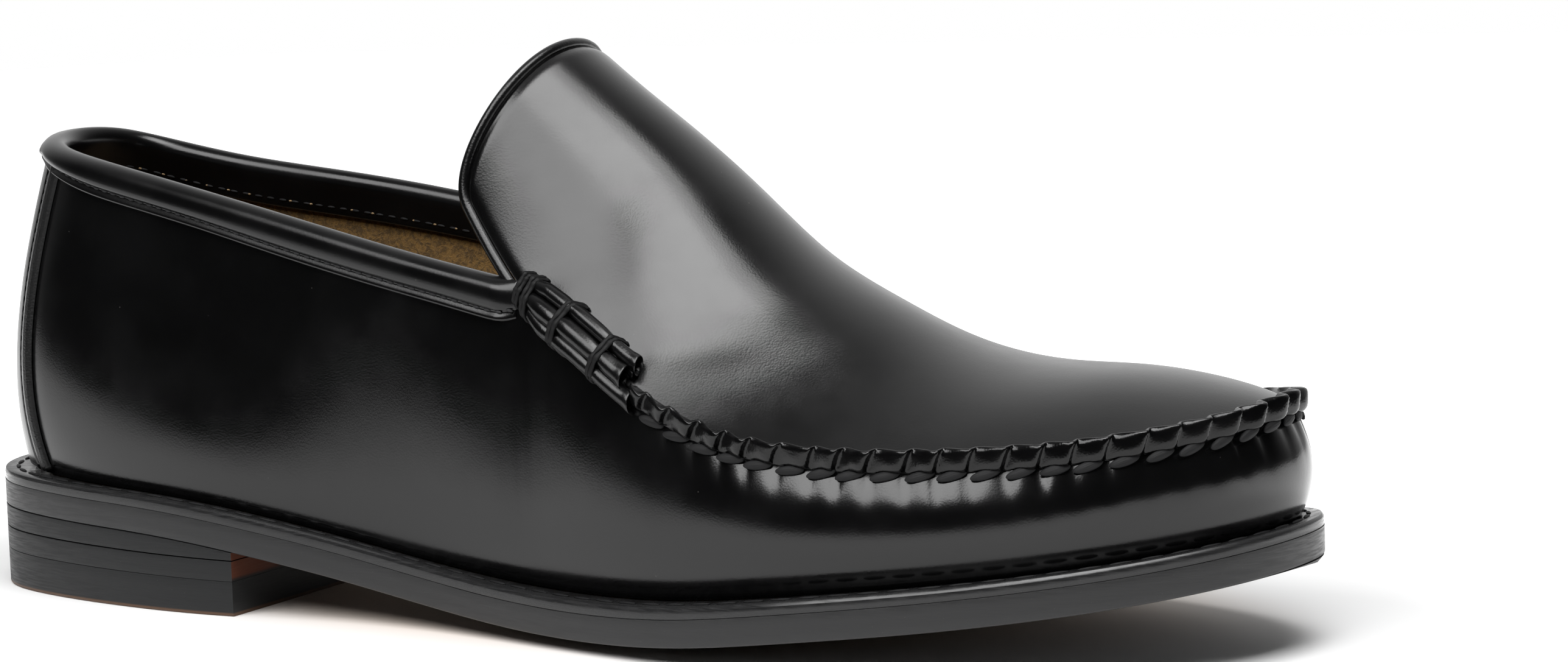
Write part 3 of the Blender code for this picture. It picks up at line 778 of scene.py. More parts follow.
# %% The upper
SKIN = 1.0
PLEAT_LENGTH = 6.05
SEAM_START = 2.1
PUCKER_DEPTH = 1.0
PUCKER_REACH = 6.5
SCALLOP = 0.6
SWELL_OUT = 0.9
SWELL_DEPTH = 10.5
SWELL_SPREAD = (4.5, 13.0)
SWELL_FADE = 5
EVEN_OUT = ((-0.36, 1.0), (-0.18, 4.0), (0.0, 6.0), (0.18, 4.0), (0.36, 1.0))
EVEN_FADE = 0.15
ROW_CROWDING = 1.6
ROW_LENGTH = 17.0
HALF_WIDTH = 42.0
GROOVE_DEPTH = 0.55
GROOVE_WIDTH = 1.35
GROOVE_END = 0.3
GROOVE_FADE = 0.4
UPPER_GRID = (20, 36, 60)
CREASES = (
    # place, across, length, width, turn, depth
    (3.33, -0.47, 9.0, 5.0, 35.0, 0.22),
    (3.80, -0.57, 8.0, 4.5, 35.0, 0.22),
    (4.15, -0.68, 10.0, 4.0, 40.0, 0.35),
    (4.50, -0.56, 11.0, 5.0, 40.0, -0.2),
    (4.40, 0.60, 12.0, 5.0, -40.0, 0.3),
    (3.60, 0.50, 10.0, 5.0, -35.0, 0.2),
    (2.20, -0.94, 2.6, 1.6, 20.0, 0.3),
    (3.02, -0.90, 2.0, 1.4, 25.0, 0.3),
    (3.68, -0.90, 2.0, 1.4, 25.0, 0.25),
    (2.20, 0.94, 2.6, 1.6, -20.0, 0.3),
    (3.02, 0.90, 2.0, 1.4, -25.0, 0.3),
    (3.68, 0.90, 2.0, 1.4, -25.0, 0.25),
)
first_pleat = APRON_THROAT + SEAM_START
last_pleat = APRON_LOOP - first_pleat
chance = np.random.default_rng(11)
borders = np.append(paced(apron_edge, first_pleat, last_pleat, PLEAT_LENGTH, 0.0), last_pleat)
PLEATS = len(borders) - 1
borders[1:-1] += chance.uniform(-0.1, 0.1, PLEATS - 1) * np.diff(borders)[1:]
pleat_size = chance.uniform(0.75, 1.25, PLEATS)


def pleat_phase(place):
    return np.interp(place, borders, np.arange(PLEATS + 1))


def pleat_sizes(phase):
    return pleat_size[np.clip(phase, 0, PLEATS - 1).astype(int)]


def pucker(place, depth):
    phase = pleat_phase(seam_place(place))
    inside = np.clip(phase, 0, 1) * np.clip(PLEATS - phase, 0, 1)
    scallop = np.abs(np.sin(np.pi * phase)) ** SCALLOP - SCALLOP
    folds = PUCKER_DEPTH * pleat_sizes(phase) * scallop * np.exp(-((depth / PUCKER_REACH) ** 2))
    fade = np.clip(phase / SWELL_FADE, 0, 1) * np.clip((PLEATS - phase) / SWELL_FADE, 0, 1)
    spread = np.where(depth < SWELL_DEPTH, *SWELL_SPREAD)
    swelling = SWELL_OUT * np.exp(-(((depth - SWELL_DEPTH) / spread) ** 2) / 2)
    return inside * folds + smooth(fade) * swelling


def crease_relief(place, across):
    relief = np.zeros(place.shape)
    for row, side, length, width, turn, depth in CREASES:
        ahead = (place - row) * ROW_LENGTH
        beside = (across - side) * HALF_WIDTH
        turn = np.radians(turn)
        first = ahead * np.cos(turn) + beside * np.sin(turn)
        second = beside * np.cos(turn) - ahead * np.sin(turn)
        relief -= depth * np.exp(-((first / length) ** 2) - (second / width) ** 2)
    return relief


def tongue_groove(place, across, end_row):
    point = apron_point(place, across)
    to_side = np.linalg.norm(point - apron_point(place, np.where(across < 0, -1.0, 1.0)), axis=1)
    to_end = np.linalg.norm(point - apron_point(end_row, across), axis=1)
    nearest = np.minimum(to_side, to_end)
    tongue = np.clip((APRON_THROAT + GROOVE_END - place) / GROOVE_FADE, 0, 1)
    return -GROOVE_DEPTH * tongue * np.exp(-((nearest / GROOVE_WIDTH) ** 2))


def wall_places(share):
    share = share * 4
    side = np.floor(share).clip(0, 3)
    part = share - side
    spans = np.array([0.0, THROAT_ROW, TIP_ROW, SOLE_LOOP - THROAT_ROW, SOLE_LOOP])
    index = side.astype(int)
    return spans[index] + part * (spans[index + 1] - spans[index])


def even_wall(place, height):
    total = sum(weight for _, weight in EVEN_OUT)
    evened = sum(weight / total * wall_point(place + step, height) for step, weight in EVEN_OUT)
    blend = smooth((1 - height) / EVEN_FADE)[:, None]
    return wall_point(place, height) * (1 - blend) + evened * blend


def wall_skin(share, height):
    place = wall_places(share)
    height = 1 - (1 - height) ** ROW_CROWDING
    point = even_wall(place, height)
    depth = np.linalg.norm(top_line(place) - point, axis=-1)
    return point + normals(wall_point, place, height) * pucker(place, depth)[:, None]


def apron_skin(share, across):
    across = np.sin((across - 0.5) * np.pi)
    place = rounded_row(share * APRON_TIP, across)
    relief = crease_relief(place, across) + tongue_groove(place, across, rounded_row(0.0, across))
    normal = normals(apron_point, np.clip(place, 2 * STEP, APRON_TIP - 2 * STEP), across)
    return apron_point(place, across) + normal * (relief * np.clip(APRON_TIP - place, 0, 1))[:, None]


def joined_skin(fineness, wall_rows, apron_rows):
    mesh = mapped_grid(4 * fineness * (TIP_ROW - THROAT_ROW), wall_rows, wall_skin)
    front = mapped_grid(fineness * APRON_TIP, apron_rows, apron_skin)
    for face in front.faces:
        face.material_index = 1
    absorb(mesh, front)
    bmesh.ops.remove_doubles(mesh, verts=mesh.verts, dist=4 * MERGE * MM)
    return mesh


def thicken(piece, thickness):
    wall = piece.modifiers.new("thickness", "SOLIDIFY")
    wall.thickness = thickness * MM
    wall.offset = -1.0


upper = finish_piece("upper_leather", joined_skin(*UPPER_GRID), wall_leather, replaces=["upper"])
upper.data.materials.append(apron_leather)
thicken(upper, SKIN)

# %% [markdown]
# Inside the leather lies a lining of tan suede. It is the same skin, moved inwards by the leather's
# thickness along its own normals and given a thickness of its own.

# %% The lining
LINING = 0.9
LINING_GAP = 0.03
LINING_GRID = (8, 16, 30)


def moved_inwards(mesh, distance):
    mesh.normal_update()
    steps = [vertex.normal * distance * MM for vertex in mesh.verts]
    for vertex, step in zip(mesh.verts, steps):
        vertex.co -= step
    return mesh


lining = moved_inwards(joined_skin(*LINING_GRID), SKIN + LINING_GAP)
for face in lining.faces:
    face.material_index = 0
lining = finish_piece("suede_lining", lining, tan_suede, slot="tan_lining")
thicken(lining, LINING)

# %% [markdown]
# A folded strip of leather binds the collar. It is a fat roll outside, it turns over the rim and
# it runs about 8 mm down the inside. Outside, its lower edge climbs towards the heel, so each row
# of its outline has a share of that edge's depth, a length to add and a distance off the wall.
# The strip is fuller at the heel, has a small knot beside it and is tucked in at both ends.

# %% The collar's folded strip
BINDING_STOP = 0.06
RIDGE_DEPTH = (
    # place, depth
    (0.0, 3.0),
    (1.3, 3.3),
    (2.5, 5.2),
    (3.2, 5.8),
    (4.0, 5.9),
    (5.0, 6.4),
    (6.2, 6.4),
    (6.75, 6.6),
    (6.9, 5.6),
    (7.0, 4.6),
)
BINDING_SECTION = (
    # share of the edge's depth, added depth, off
    (1.0, -0.5, 0.1),
    (1.0, 0.1, 0.45),
    (1.0, -0.1, 1.05),
    (1.0, -0.6, 1.1),
    (1.0, -1.2, 0.85),
    (1.0, -1.8, 0.7),
    (0.6, 0.0, 1.55),
    (0.35, 0.0, 1.95),
    (0.0, 0.6, 1.95),
    (0.0, -0.5, 1.45),
    (0.0, -1.5, 0.45),
    (0.0, -2.1, -0.9),
    (0.0, -1.8, -2.3),
    (0.0, -0.2, -3.6),
    (0.0, 2.5, -3.7),
    (0.0, 6.0, -3.55),
    (0.0, 7.7, -3.4),
    (0.0, 7.9, -2.9),
    (0.0, 7.3, -2.35),
    (0.0, 4.0, -2.3),
    (0.0, 0.6, -2.2),
    (0.0, -0.5, -1.0),
    (0.0, 0.6, 0.1),
    (0.5, 0.0, 0.1),
)
HEEL_FULLNESS = 0.45
HEEL_FULL_REACH = 1.6
TUCK_PLACE = 6.78
TUCK_LENGTH = 0.16
TUCK_SHARE = 0.7
KNOT_PLACE = 1.3
KNOT_LENGTH = 0.16
KNOT_WIDTH = 1.1
KNOT_RISE = 0.7
OUTER_ROW_RISE = 1.75
INNER_ROW_DEPTH = 6.1
binding_line = curve(BINDING_SECTION, closed=True)
binding_reach = THROAT_ROW - BINDING_STOP
ridge_rows = fine_rows(RIDGE_DEPTH, 200)


def ridge_depth(place):
    return np.interp(np.abs(place), ridge_rows[:, 0], ridge_rows[:, 1])


def binding_surface(share, turn):
    place = -binding_reach + 2 * binding_reach * share
    towards, added, off = binding_line(turn * len(BINDING_SECTION)).T
    depth = towards * ridge_depth(place) + added
    fuller = 1 + HEEL_FULLNESS * np.exp(-((place / HEEL_FULL_REACH) ** 2)) * (off > 0)
    fuller = fuller * (1 - TUCK_SHARE * np.clip((np.abs(place) - TUCK_PLACE) / TUCK_LENGTH, 0, 1))
    beside = (np.abs(place) - KNOT_PLACE) / KNOT_LENGTH
    below = (depth - ridge_depth(place) + 1.0) / KNOT_WIDTH
    knot = KNOT_RISE * np.exp(-(beside**2 + below**2)) * (off > 0.2)
    return collar_point(place, depth, off * fuller + knot)


def outer_row(place):
    return ridge_depth(place) - OUTER_ROW_RISE


def inner_row(place):
    return np.full(np.shape(place), INNER_ROW_DEPTH)


def collar_stitches(name, row, off, pitch, shift, size, material):
    def line(place):
        return collar_point(place, row(place), off)

    places = paced(line, -binding_reach, binding_reach, pitch, shift)
    depth = row(places)
    along = along_line(lambda place: collar_point(place, depth, off), places)
    facing = normals(wall_point, places, below_top(places, depth))
    stitch_row(name, line(places), along, facing, size, material)


COLLAR_ROWS = (
    # name, row, off, pitch, shift, size, finish
    ("collar_stitches", outer_row, 0.75, 2.7, 0.5, (0.32, 0.3, 0.85), fine_thread),
    ("inner_collar_stitches", inner_row, -3.62, 3.1, 0.5, (0.26, 0.2, 0.95), seam_thread),
    ("inner_collar_dots", inner_row, -3.6, 5.3, 0.2, (0.22, 0.2, 0.4), tan_thread),
)
ring_body("collar_strip", 420, 50, binding_surface, trim_leather, replaces=["collar_binding"])
for collar_row in COLLAR_ROWS:
    collar_stitches(*collar_row)

# %% [markdown]
# A strap covers the heel seam. It is skived thin at its edges and has a raised bead along each
# front edge, so its height off the wall is a short profile across.

# %% The heel strap
COUNTER_REACH = (1.95, 1.78, 1.74, 1.86, 2.1)
COUNTER_FOOT = 0.02
COUNTER_TOP = 2.4
STRAP_PROFILE = (
    # distance from the front edge, off
    (0.0, 0.05),
    (0.3, 0.7),
    (0.9, 1.1),
    (2.0, 1.3),
    (3.2, 1.1),
    (3.8, 0.45),
    (4.4, 0.4),
    (5.2, 0.85),
    (60.0, 0.9),
)
STRAP_SKIN = 0.25
STRAP_BEAD = 0.37
STRAP_STITCH_INSET = 4.1
STRAP_STITCH_OFF = 0.55
STRAP_STITCH_PITCH = 2.1
STRAP_STITCH_PLACE = 1.9
STRAP_STITCH_SIZE = (0.3, 0.25, 0.75)
counter_reach = curve([[r] for r in COUNTER_REACH])


def strap_surface(share, height):
    height = COUNTER_FOOT + height * (1 - COUNTER_FOOT)
    reach = counter_reach(height * (len(COUNTER_REACH) - 1))[:, 0]
    side = np.sin((share - 0.5) * np.pi)
    place = side * reach
    full = below_top(place, COUNTER_TOP)
    edge = wall_point(np.sign(side) * reach, height * full)
    point = wall_point(place, height * full)
    from_edge = np.linalg.norm(point - edge, axis=1)
    off = np.interp(from_edge, *zip(*STRAP_PROFILE))
    return point + normals(wall_point, place, height * full) * off[:, None]


strap_mesh = mapped_grid(180, 90, strap_surface)
for face in strap_mesh.faces:
    share = face.verts[0][strap_mesh.verts.layers.float["along"]]
    face.material_index = int(abs(share - 0.5) > STRAP_BEAD)
strap = finish_piece("heel_strap", strap_mesh, trim_leather, replaces=["heel_counter"])
strap.data.materials.append(bead_leather)
thicken(strap, STRAP_SKIN)


def strap_stitches():
    rows = []
    for side in (-1.0, 1.0):

        def line(spot):
            reach = counter_reach(spot * (len(COUNTER_REACH) - 1))[:, 0] * side
            full = below_top(reach, COUNTER_TOP)
            edge = wall_point(reach, spot * full)
            back = unit(wall_point(reach - STEP * side, spot * full) - edge)
            off = normals(wall_point, reach, spot * full) * STRAP_STITCH_OFF
            return edge + back * STRAP_STITCH_INSET + off

        spots = paced(line, 0.03, 1.0, STRAP_STITCH_PITCH)
        facing = normals(wall_point, np.full(spots.shape, STRAP_STITCH_PLACE * side), spots)
        rows.append([line(spots), along_line(line, spots, STEP / 2), facing])
    centres, along, facing = [np.concatenate(part) for part in zip(*rows)]
    stitch_row("heel_strap_stitches", centres, along, facing, STRAP_STITCH_SIZE, fine_thread)


strap_stitches()

# %% [markdown]
# Round piping edges the tongue. Its route climbs one side, turns over the rounded end and comes
# down the other, just outside the tongue's own edge.

# %% The tongue's piping
PIPING_RADIUS = 1.15
PIPING_GAP = 0.1
PIPING_STOP = 0.35
PIPING_STEP = 0.004
TONGUE_STITCH_INSET = 1.5
TONGUE_STITCH_PITCH = 2.9
TONGUE_STITCH_SINK = 0.4
TONGUE_STITCH_SIZE = (0.28, 0.2, 0.8)


def tongue_route(part):
    side = np.minimum(np.where(part < 1.5, part, 3.0 - part), 1.0)
    across = np.where(part < 1, -1.0, np.where(part > 2, 1.0, np.sin((part - 1.5) * np.pi)))
    place = (APRON_THROAT - PIPING_STOP) * (1 - side)
    return rounded_row(place, across), across


def tongue_line(part):
    return apron_point(*tongue_route(np.asarray(part, float)))


def tongue_axes(part):
    place, across = tongue_route(part)
    along = along_line(tongue_line, part, PIPING_STEP)
    normal = normals(apron_point, np.maximum(place, 2 * STEP), across)
    return along, normal, unit(np.cross(normal, along))


def piping_surface(share, turn):
    part = PIPING_STEP + (3 - 2 * PIPING_STEP) * share
    _, normal, away = tongue_axes(part)
    centre = tongue_line(part) + away * (PIPING_RADIUS + PIPING_GAP) - normal * WALL / 2
    angle = (turn * 2 * np.pi)[:, None]
    return centre + (away * np.cos(angle) + normal * np.sin(angle)) * PIPING_RADIUS


def tongue_stitches():
    parts = paced(tongue_line, 0.1, 2.9, TONGUE_STITCH_PITCH)
    along, normal, away = tongue_axes(parts)
    centres = tongue_line(parts) - away * TONGUE_STITCH_INSET - normal * TONGUE_STITCH_SINK
    stitch_row("tongue_stitches", centres, along, normal, TONGUE_STITCH_SIZE, fine_thread)


ring_body("tongue_piping_roll", 400, 16, piping_surface, piping_leather, replaces=["tongue_piping"])
tongue_stitches()

# %% [markdown]
# The hand-sewn seam draws wall and apron together in a standing lip. Between two stitches the lip
# bulges in a pleat and steps down to the next, so it follows a saw wave round the toe. One thread
# crosses each pleat at the lip's foot, and together they lie like a rope.

# %% The gathered seam
LIP_SECTION = (
    # arc, height, share of the pleat
    (1.0, -0.3, 0.0),
    (0.85, 1.2, 0.2),
    (0.7, 2.6, 0.8),
    (0.4, 3.1, 1.0),
    (-0.05, 3.0, 1.0),
    (-0.7, 2.5, 1.0),
    (-1.6, 1.8, 1.0),
    (-2.3, 1.1, 0.7),
    (-2.6, 0.4, 0.2),
    (-2.2, -0.2, 0.0),
    (-1.0, -0.4, 0.0),
)
PLEAT_LIFT = 1.9
PLEAT_LEAN = 0.24
PLEAT_BOW = 0.1
PLEAT_RISE = (0.02, 0.78)
PLEAT_DROP = (0.86, 0.14)
PLEAT_SLANT = 0.6
LIP_HEIGHT = 3.0
LIP_BOW_HEIGHT = 1.6
LIP_OVERLAP = 0.14
HOLLOW_DEPTH = 0.2
HOLLOW_PLEATS = (5.0, 11.0)
HOLLOW_ARC = -0.3
SEAM_THREAD_PLACE = (-3.15, 0.7)
SEAM_THREAD_SIZE = (0.95, 0.6, 2.9)
SEAM_THREAD_SHARE = 0.45
SEAM_THREAD_TILT = 12.0
SEAM_THREAD_SWAY = 4.0
lip_line = curve(LIP_SECTION, closed=True)


def lip_surface(share, turn):
    phase = -LIP_OVERLAP * 3 + share * (PLEATS + LIP_OVERLAP * 6)
    first = np.minimum(phase, 0) + np.maximum(phase - PLEATS, 0)
    place = np.interp(phase, np.arange(PLEATS + 1), borders) + first * np.diff(borders).mean()
    arc, height, pleated = lip_line(turn * len(LIP_SECTION)).T
    bow = PLEAT_BOW * (1 - ((height - LIP_BOW_HEIGHT) / LIP_BOW_HEIGHT) ** 2)
    leaned = phase - PLEAT_LEAN * height / LIP_HEIGHT + bow
    part = leaned - np.floor(leaned)
    rise, drop = [smooth((part - start) / length) for start, length in (PLEAT_RISE, PLEAT_DROP)]
    lift = PLEAT_LIFT * (rise * (1 - drop) - 0.5) * pleat_sizes(leaned) * pleated
    hollow = HOLLOW_DEPTH * np.interp(np.minimum(phase, PLEATS - phase), HOLLOW_PLEATS, (1.0, 0.0))
    hollow = hollow * np.sin(np.pi * np.clip(height / LIP_HEIGHT, 0, 1)) * (arc < HOLLOW_ARC)
    return seam_point(place, arc + hollow - PLEAT_SLANT * lift, height + PLEAT_SLANT * lift)


def seam_threads():
    middles = np.interp(np.arange(PLEATS) + SEAM_THREAD_SHARE, np.arange(PLEATS + 1), borders)
    centres = seam_point(middles, *[np.full(PLEATS, length) for length in SEAM_THREAD_PLACE])
    _, along, down, _ = seam_frame(middles)
    sway = chance.uniform(-SEAM_THREAD_SWAY, SEAM_THREAD_SWAY, PLEATS)
    tilt = np.radians(SEAM_THREAD_TILT + sway)[:, None]
    lie = along * np.cos(tilt) - down * np.sin(tilt)
    facing = unit(np.cross(down, along))
    stitch_row("seam_threads", centres, lie, facing, SEAM_THREAD_SIZE, seam_thread, (14, 12))


ring_body("gathered_lip", PLEATS * 20, 30, lip_surface, lip_leather, replaces=["apron_seam"])
seam_threads()

# %% [markdown]
# Between collar and gathered seam the lip is slit into rolled strands, bound by four wraps of
# thread on each side of the shoe, the first two side by side under the collar's end. Each strand
# is a tube with a hollow, flared end, each wrap is two cords over the whole bundle, and a narrow
# folded flap of leather lies below.

# %% The bundles of rolled strands
STRANDS = (
    # arc, height, radius, last row
    (4.4, 1.6, 1.8, 1.93),
    (2.6, 0.7, 1.0, 1.90),
    (0.8, 1.7, 2.0, 1.84),
    (-2.4, 1.1, 1.9, 1.97),
)
STRAND_SHAPE = (
    # share of the length, share of the radius
    (0.0, 0.5),
    (0.1, 0.75),
    (0.25, 0.97),
    (0.5, 1.0),
    (0.75, 1.0),
    (0.92, 0.98),
    (0.975, 1.08),
    (1.0, 1.14),
    (1.004, 1.02),
    (0.985, 0.84),
    (0.94, 0.74),
    (0.88, 0.68),
    (0.82, 0.6),
)
WRAP_PATH = (
    # arc, height
    (6.9, -0.6),
    (6.3, 0.9),
    (5.6, 2.4),
    (4.4, 3.2),
    (2.7, 3.2),
    (0.8, 3.5),
    (-0.9, 3.2),
    (-2.6, 2.8),
    (-4.0, 1.7),
    (-4.7, 0.5),
    (-5.1, -0.6),
)
WRAPS = (
    # row at the top, row at the bottom, cord radius, squeeze
    (0.24, 0.08, 0.5, 0.86),
    (0.08, -0.10, 0.5, 0.72),
    (1.02, 0.62, 0.56, 0.98),
    (1.66, 1.33, 0.52, 1.0),
)
CORD_WAVES = ((0.16, 37.0), (0.10, 61.0))
CORD_SPACING = 0.93
CORD_FLATNESS = 0.6
FLAP_SECTION = (
    # arc, height
    (-3.4, 0.2),
    (-4.3, 0.1),
    (-4.8, 0.0),
    (-5.0, 0.12),
    (-4.8, 0.35),
    (-4.3, 0.75),
    (-3.4, 1.3),
)
FLAP_WAVES = ((0.10, 21.0), (0.06, 47.0))
FLAP_FULLNESS = 0.35
FLAP_ROWS = (0.02, 1.9)
FLAP_ROOT = -3.4
ROLL_START = -0.02
STRAND_TAPER = (0.6, 0.25)
PINCH = 0.14
PINCH_WIDTH = 0.09
STRAND_GRID = (90, 18)
CORD_GRID = (60, 10)
FLAP_GRID = (60, 16)
strand_line = curve(STRAND_SHAPE)
wrap_line = curve(WRAP_PATH)
flap_line = curve(FLAP_SECTION, closed=True)


def wrap_row(top, bottom, arc):
    return top + (bottom - top) * (WRAP_PATH[0][0] - arc) / (WRAP_PATH[0][0] - WRAP_PATH[-1][0])


def waves(sizes, share, shift=0.0):
    return sum(size * np.sin(rate * share + shift) for size, rate in sizes)


def strand_surface(to_place, arc, height, radius, last):
    def surface(share, turn):
        length, width = strand_line(share * (len(STRAND_SHAPE) - 1)).T
        row = ROLL_START + length * (last - ROLL_START)
        thin = STRAND_TAPER[0] + (1 - STRAND_TAPER[0]) * np.clip(length / STRAND_TAPER[1], 0, 1)
        for top, bottom, _, _ in WRAPS[2:]:
            from_wrap = (row - wrap_row(top, bottom, arc)) / PINCH_WIDTH
            width = width * (1 - PINCH * np.exp(-(from_wrap**2)))
        angle = turn * 2 * np.pi
        reach = radius * width
        arcs = arc * thin + reach * np.cos(angle)
        return seam_point(to_place(row), arcs, height * thin + reach * np.sin(angle))

    return surface


def cord_surface(to_place, top, bottom, radius, squeeze, side):
    def path(share):
        arc, height = wrap_line(share * (len(WRAP_PATH) - 1)).T
        place = to_place(top + (bottom - top) * share)
        return seam_point(place, arc * squeeze, height * squeeze), seam_frame(place)[1]

    def surface(share, turn):
        centre, across = path(share)
        onwards = along_line(lambda spot: path(spot)[0], share)
        facing = unit(np.cross(onwards, across))
        sideways = np.cross(facing, onwards)
        angle = (turn * 2 * np.pi)[:, None]
        swell = radius * (1 + waves(CORD_WAVES, share, side))[:, None]
        aside = side * CORD_SPACING * radius + swell * np.cos(angle)
        return centre + sideways * aside + facing * swell * CORD_FLATNESS * np.sin(angle)

    return surface


def flap_surface(to_place):
    def surface(share, turn):
        arc, height = flap_line(turn * len(FLAP_SECTION)).T
        width = np.sin(np.pi * (0.03 + 0.94 * share)) ** FLAP_FULLNESS * (1 + waves(FLAP_WAVES, share))
        arc = FLAP_ROOT + (arc - FLAP_ROOT) * width
        row = FLAP_ROWS[0] + share * (FLAP_ROWS[1] - FLAP_ROWS[0])
        return seam_point(to_place(row), arc, height * (0.75 + 0.25 * width))

    return surface


def joined_tubes(surfaces, columns, sides):
    bundle = bmesh.new()
    for surface in surfaces:
        tube = mapped_grid(columns, sides, surface)
        close_ends(tube)
        absorb(bundle, outward(tube))
    return bundle


def build_roll(name, to_place, node):
    strands = [strand_surface(to_place, *strand) for strand in STRANDS]
    cords = [cord_surface(to_place, *wrap, side) for wrap in WRAPS for side in (-1.0, 1.0)]
    finish_piece(name + "_strands", joined_tubes(strands, *STRAND_GRID), roll_leather, replaces=[node])
    finish_piece(name + "_wraps", joined_tubes(cords, *CORD_GRID), wrap_thread)
    finish_piece(name + "_flap", joined_tubes([flap_surface(to_place)], *FLAP_GRID), roll_leather)


build_roll("outer_roll", lambda row: APRON_THROAT + row, "side_roll_outer")
build_roll("inner_roll", lambda row: APRON_LOOP - APRON_THROAT - row, "side_roll_inner")

# %% [markdown]
# The bottom is a stack of plates: outsole, heel lifts and insole. One map makes them all. It walks
# round the outline, and at each place it goes from the middle of the underside out to the edge,
# over the rounded rim and back to the middle of the top.

# %% The plates of the bottom
PLATE_RIM = (
    # share towards the middle, inset in radii, rise in radii
    (1.0, 0.0, 0.0),
    (0.75, 0.0, 0.0),
    (0.5, 0.0, 0.0),
    (0.25, 0.0, 0.0),
    (0.06, 0.0, 0.0),
    (0.0, 1.0, 0.0),
    (0.0, 0.62, 0.08),
    (0.0, 0.29, 0.29),
    (0.0, 0.08, 0.62),
    (0.0, 0.0, 1.0),
)
SHARP_EDGE = math.radians(50)
underside = [(middle, inset, 0.0, rise) for middle, inset, rise in PLATE_RIM]
topside = [(middle, inset, 1.0, -rise) for middle, inset, rise in PLATE_RIM[::-1]]
plate_rows = np.array([*underside, (0.0, 0.0, 0.35, 0.0), (0.0, 0.0, 0.65, 0.0), *topside])


def nearest_row(rows, turn):
    return rows[(turn * (len(rows) - 1)).round().astype(int)]


def plate_body(name, inset, span, floor, ceiling, material, radii, columns, slot, node):
    def surface(share, turn):
        place = span[0] + share * (span[1] - span[0])
        middle, inwards, height, rise = nearest_row(plate_rows, turn).T
        radius = np.where(turn < 0.5, *radii)
        near = sole_outline(place, inset(place) + inwards * radius)
        far = sole_outline(-place, inset(-place) + inwards * radius)
        plan = near + (far - near) * middle[:, None] / 2
        low = floor(plan[:, 0], 1 - middle)
        high = ceiling(plan[:, 0], 1 - middle)
        return np.column_stack([plan, low + (high - low) * height + rise * radius])

    sides = len(plate_rows) - 1
    plate = ring_body(name, columns, sides, surface, material, slot=slot, replaces=[node])
    plate.data.set_sharp_from_angle(angle=SHARP_EDGE)


def no_inset(place):
    return np.zeros(np.shape(place))


def insole_inset(place):
    return inset_line(place)[..., 0] + INSOLE_SETBACK


def sole_bottom(x, across):
    return np.maximum(edge_height(x) - crown_depth(x) * (1 - across**2), 0.0)


def level(base):
    return lambda x, across: edge_height(x) + base


def joint_plane(heights, lift=0.0):
    breast_x = sole_outline(np.array(BREAST_ROW))[0]
    return lambda x, across: heights[0] + (heights[1] - heights[0]) * x / breast_x + lift


ROUND = (0.0, SOLE_LOOP)
HEEL = (-BREAST_ROW, BREAST_ROW)
WELT_JOINT = 0.05
OUTSOLE_JOINT = 0.03
LIFT_JOINT = 0.22
TOP_PIECE_JOINT = 0.06
over_sole = OUTSOLE_THICK + GAP
outsole = (no_inset, ROUND, sole_bottom, level(over_sole - WELT_JOINT))
upper_lift = (no_inset, HEEL, joint_plane(HEEL_LOWER_LIFT), level(-OUTSOLE_JOINT))
lower_lift = (no_inset, HEEL, joint_plane(HEEL_TOP_PIECE), joint_plane(HEEL_LOWER_LIFT, -LIFT_JOINT))
top_piece = (no_inset, HEEL, joint_plane((0.0, 0.0)), joint_plane(HEEL_TOP_PIECE, -TOP_PIECE_JOINT))
insole = (insole_inset, ROUND, level(over_sole), level(over_sole + INSOLE_THICK))
PLATES = (
    # name, shape, finish, radii of both rims, columns, slot, node
    ("leather_outsole", outsole, sole_ink, (0.5, 0.03), 400, "sole_edge", "outsole"),
    ("upper_lift", upper_lift, heel_ink, (0.12, 0.08), 200, "sole_edge", "heel_upper_lift"),
    ("lower_lift", lower_lift, heel_ink, (0.08, 0.12), 200, "sole_edge", "heel_lower_lift"),
    ("top_piece", top_piece, heel_ink, (0.5, 0.08), 200, "heel_rubber", "heel_top_piece"),
    ("insole_sock", insole, sock_leather, (0.6, 0.6), 240, "tan_lining", "insole"),
)
for name, shape, *rest in PLATES:
    plate_body(name, *shape, *rest)

# %% [markdown]
# The welt is a strip of leather all round the upper's foot, stitched down to the outsole. Its top
# corner is bevelled, more towards the toe, and catches the light in a thin line.

# %% The welt
WELT_SECTION = (
    # share towards the upper, inset, height
    (0.0, 0.05, 0.0),
    (0.0, 0.0, 0.05),
    (0.0, 0.0, 0.7),
    (0.0, 0.0, 1.6),
    (0.0, 0.03, 1.68),
    (0.0, 0.44, 2.26),
    (0.0, 0.50, 2.3),
    (0.3, 0.0, 2.3),
    (1.0, -0.4, 2.3),
    (1.0, 0.0, 1.9),
    (1.0, 0.0, 0.4),
    (1.0, -0.4, 0.0),
    (0.5, 0.0, 0.0),
    (0.0, 0.05, 0.0),
)
WELT_CHAMFER = ((110.0, 0.35), (200.0, 1.0))
WELT_STITCH_INSET = 3.0
WELT_STITCH_PITCH = 5.8
WELT_STITCH_SIZE = (0.5, 0.25, 2.3)
welt_rows = np.array(WELT_SECTION)


def welt_surface(share, turn):
    place = share * SOLE_LOOP
    towards, inset, height = nearest_row(welt_rows, turn).T
    inner = inset_line(place)[:, 0] + WELT_UNDER_UPPER
    inset = inset * np.interp(sole_line(place)[:, 0], *zip(*WELT_CHAMFER))
    plan = sole_outline(place, WELT_SETBACK + inset + towards * (inner - WELT_SETBACK))
    return np.column_stack([plan, edge_height(plan[:, 0]) + over_sole + height])


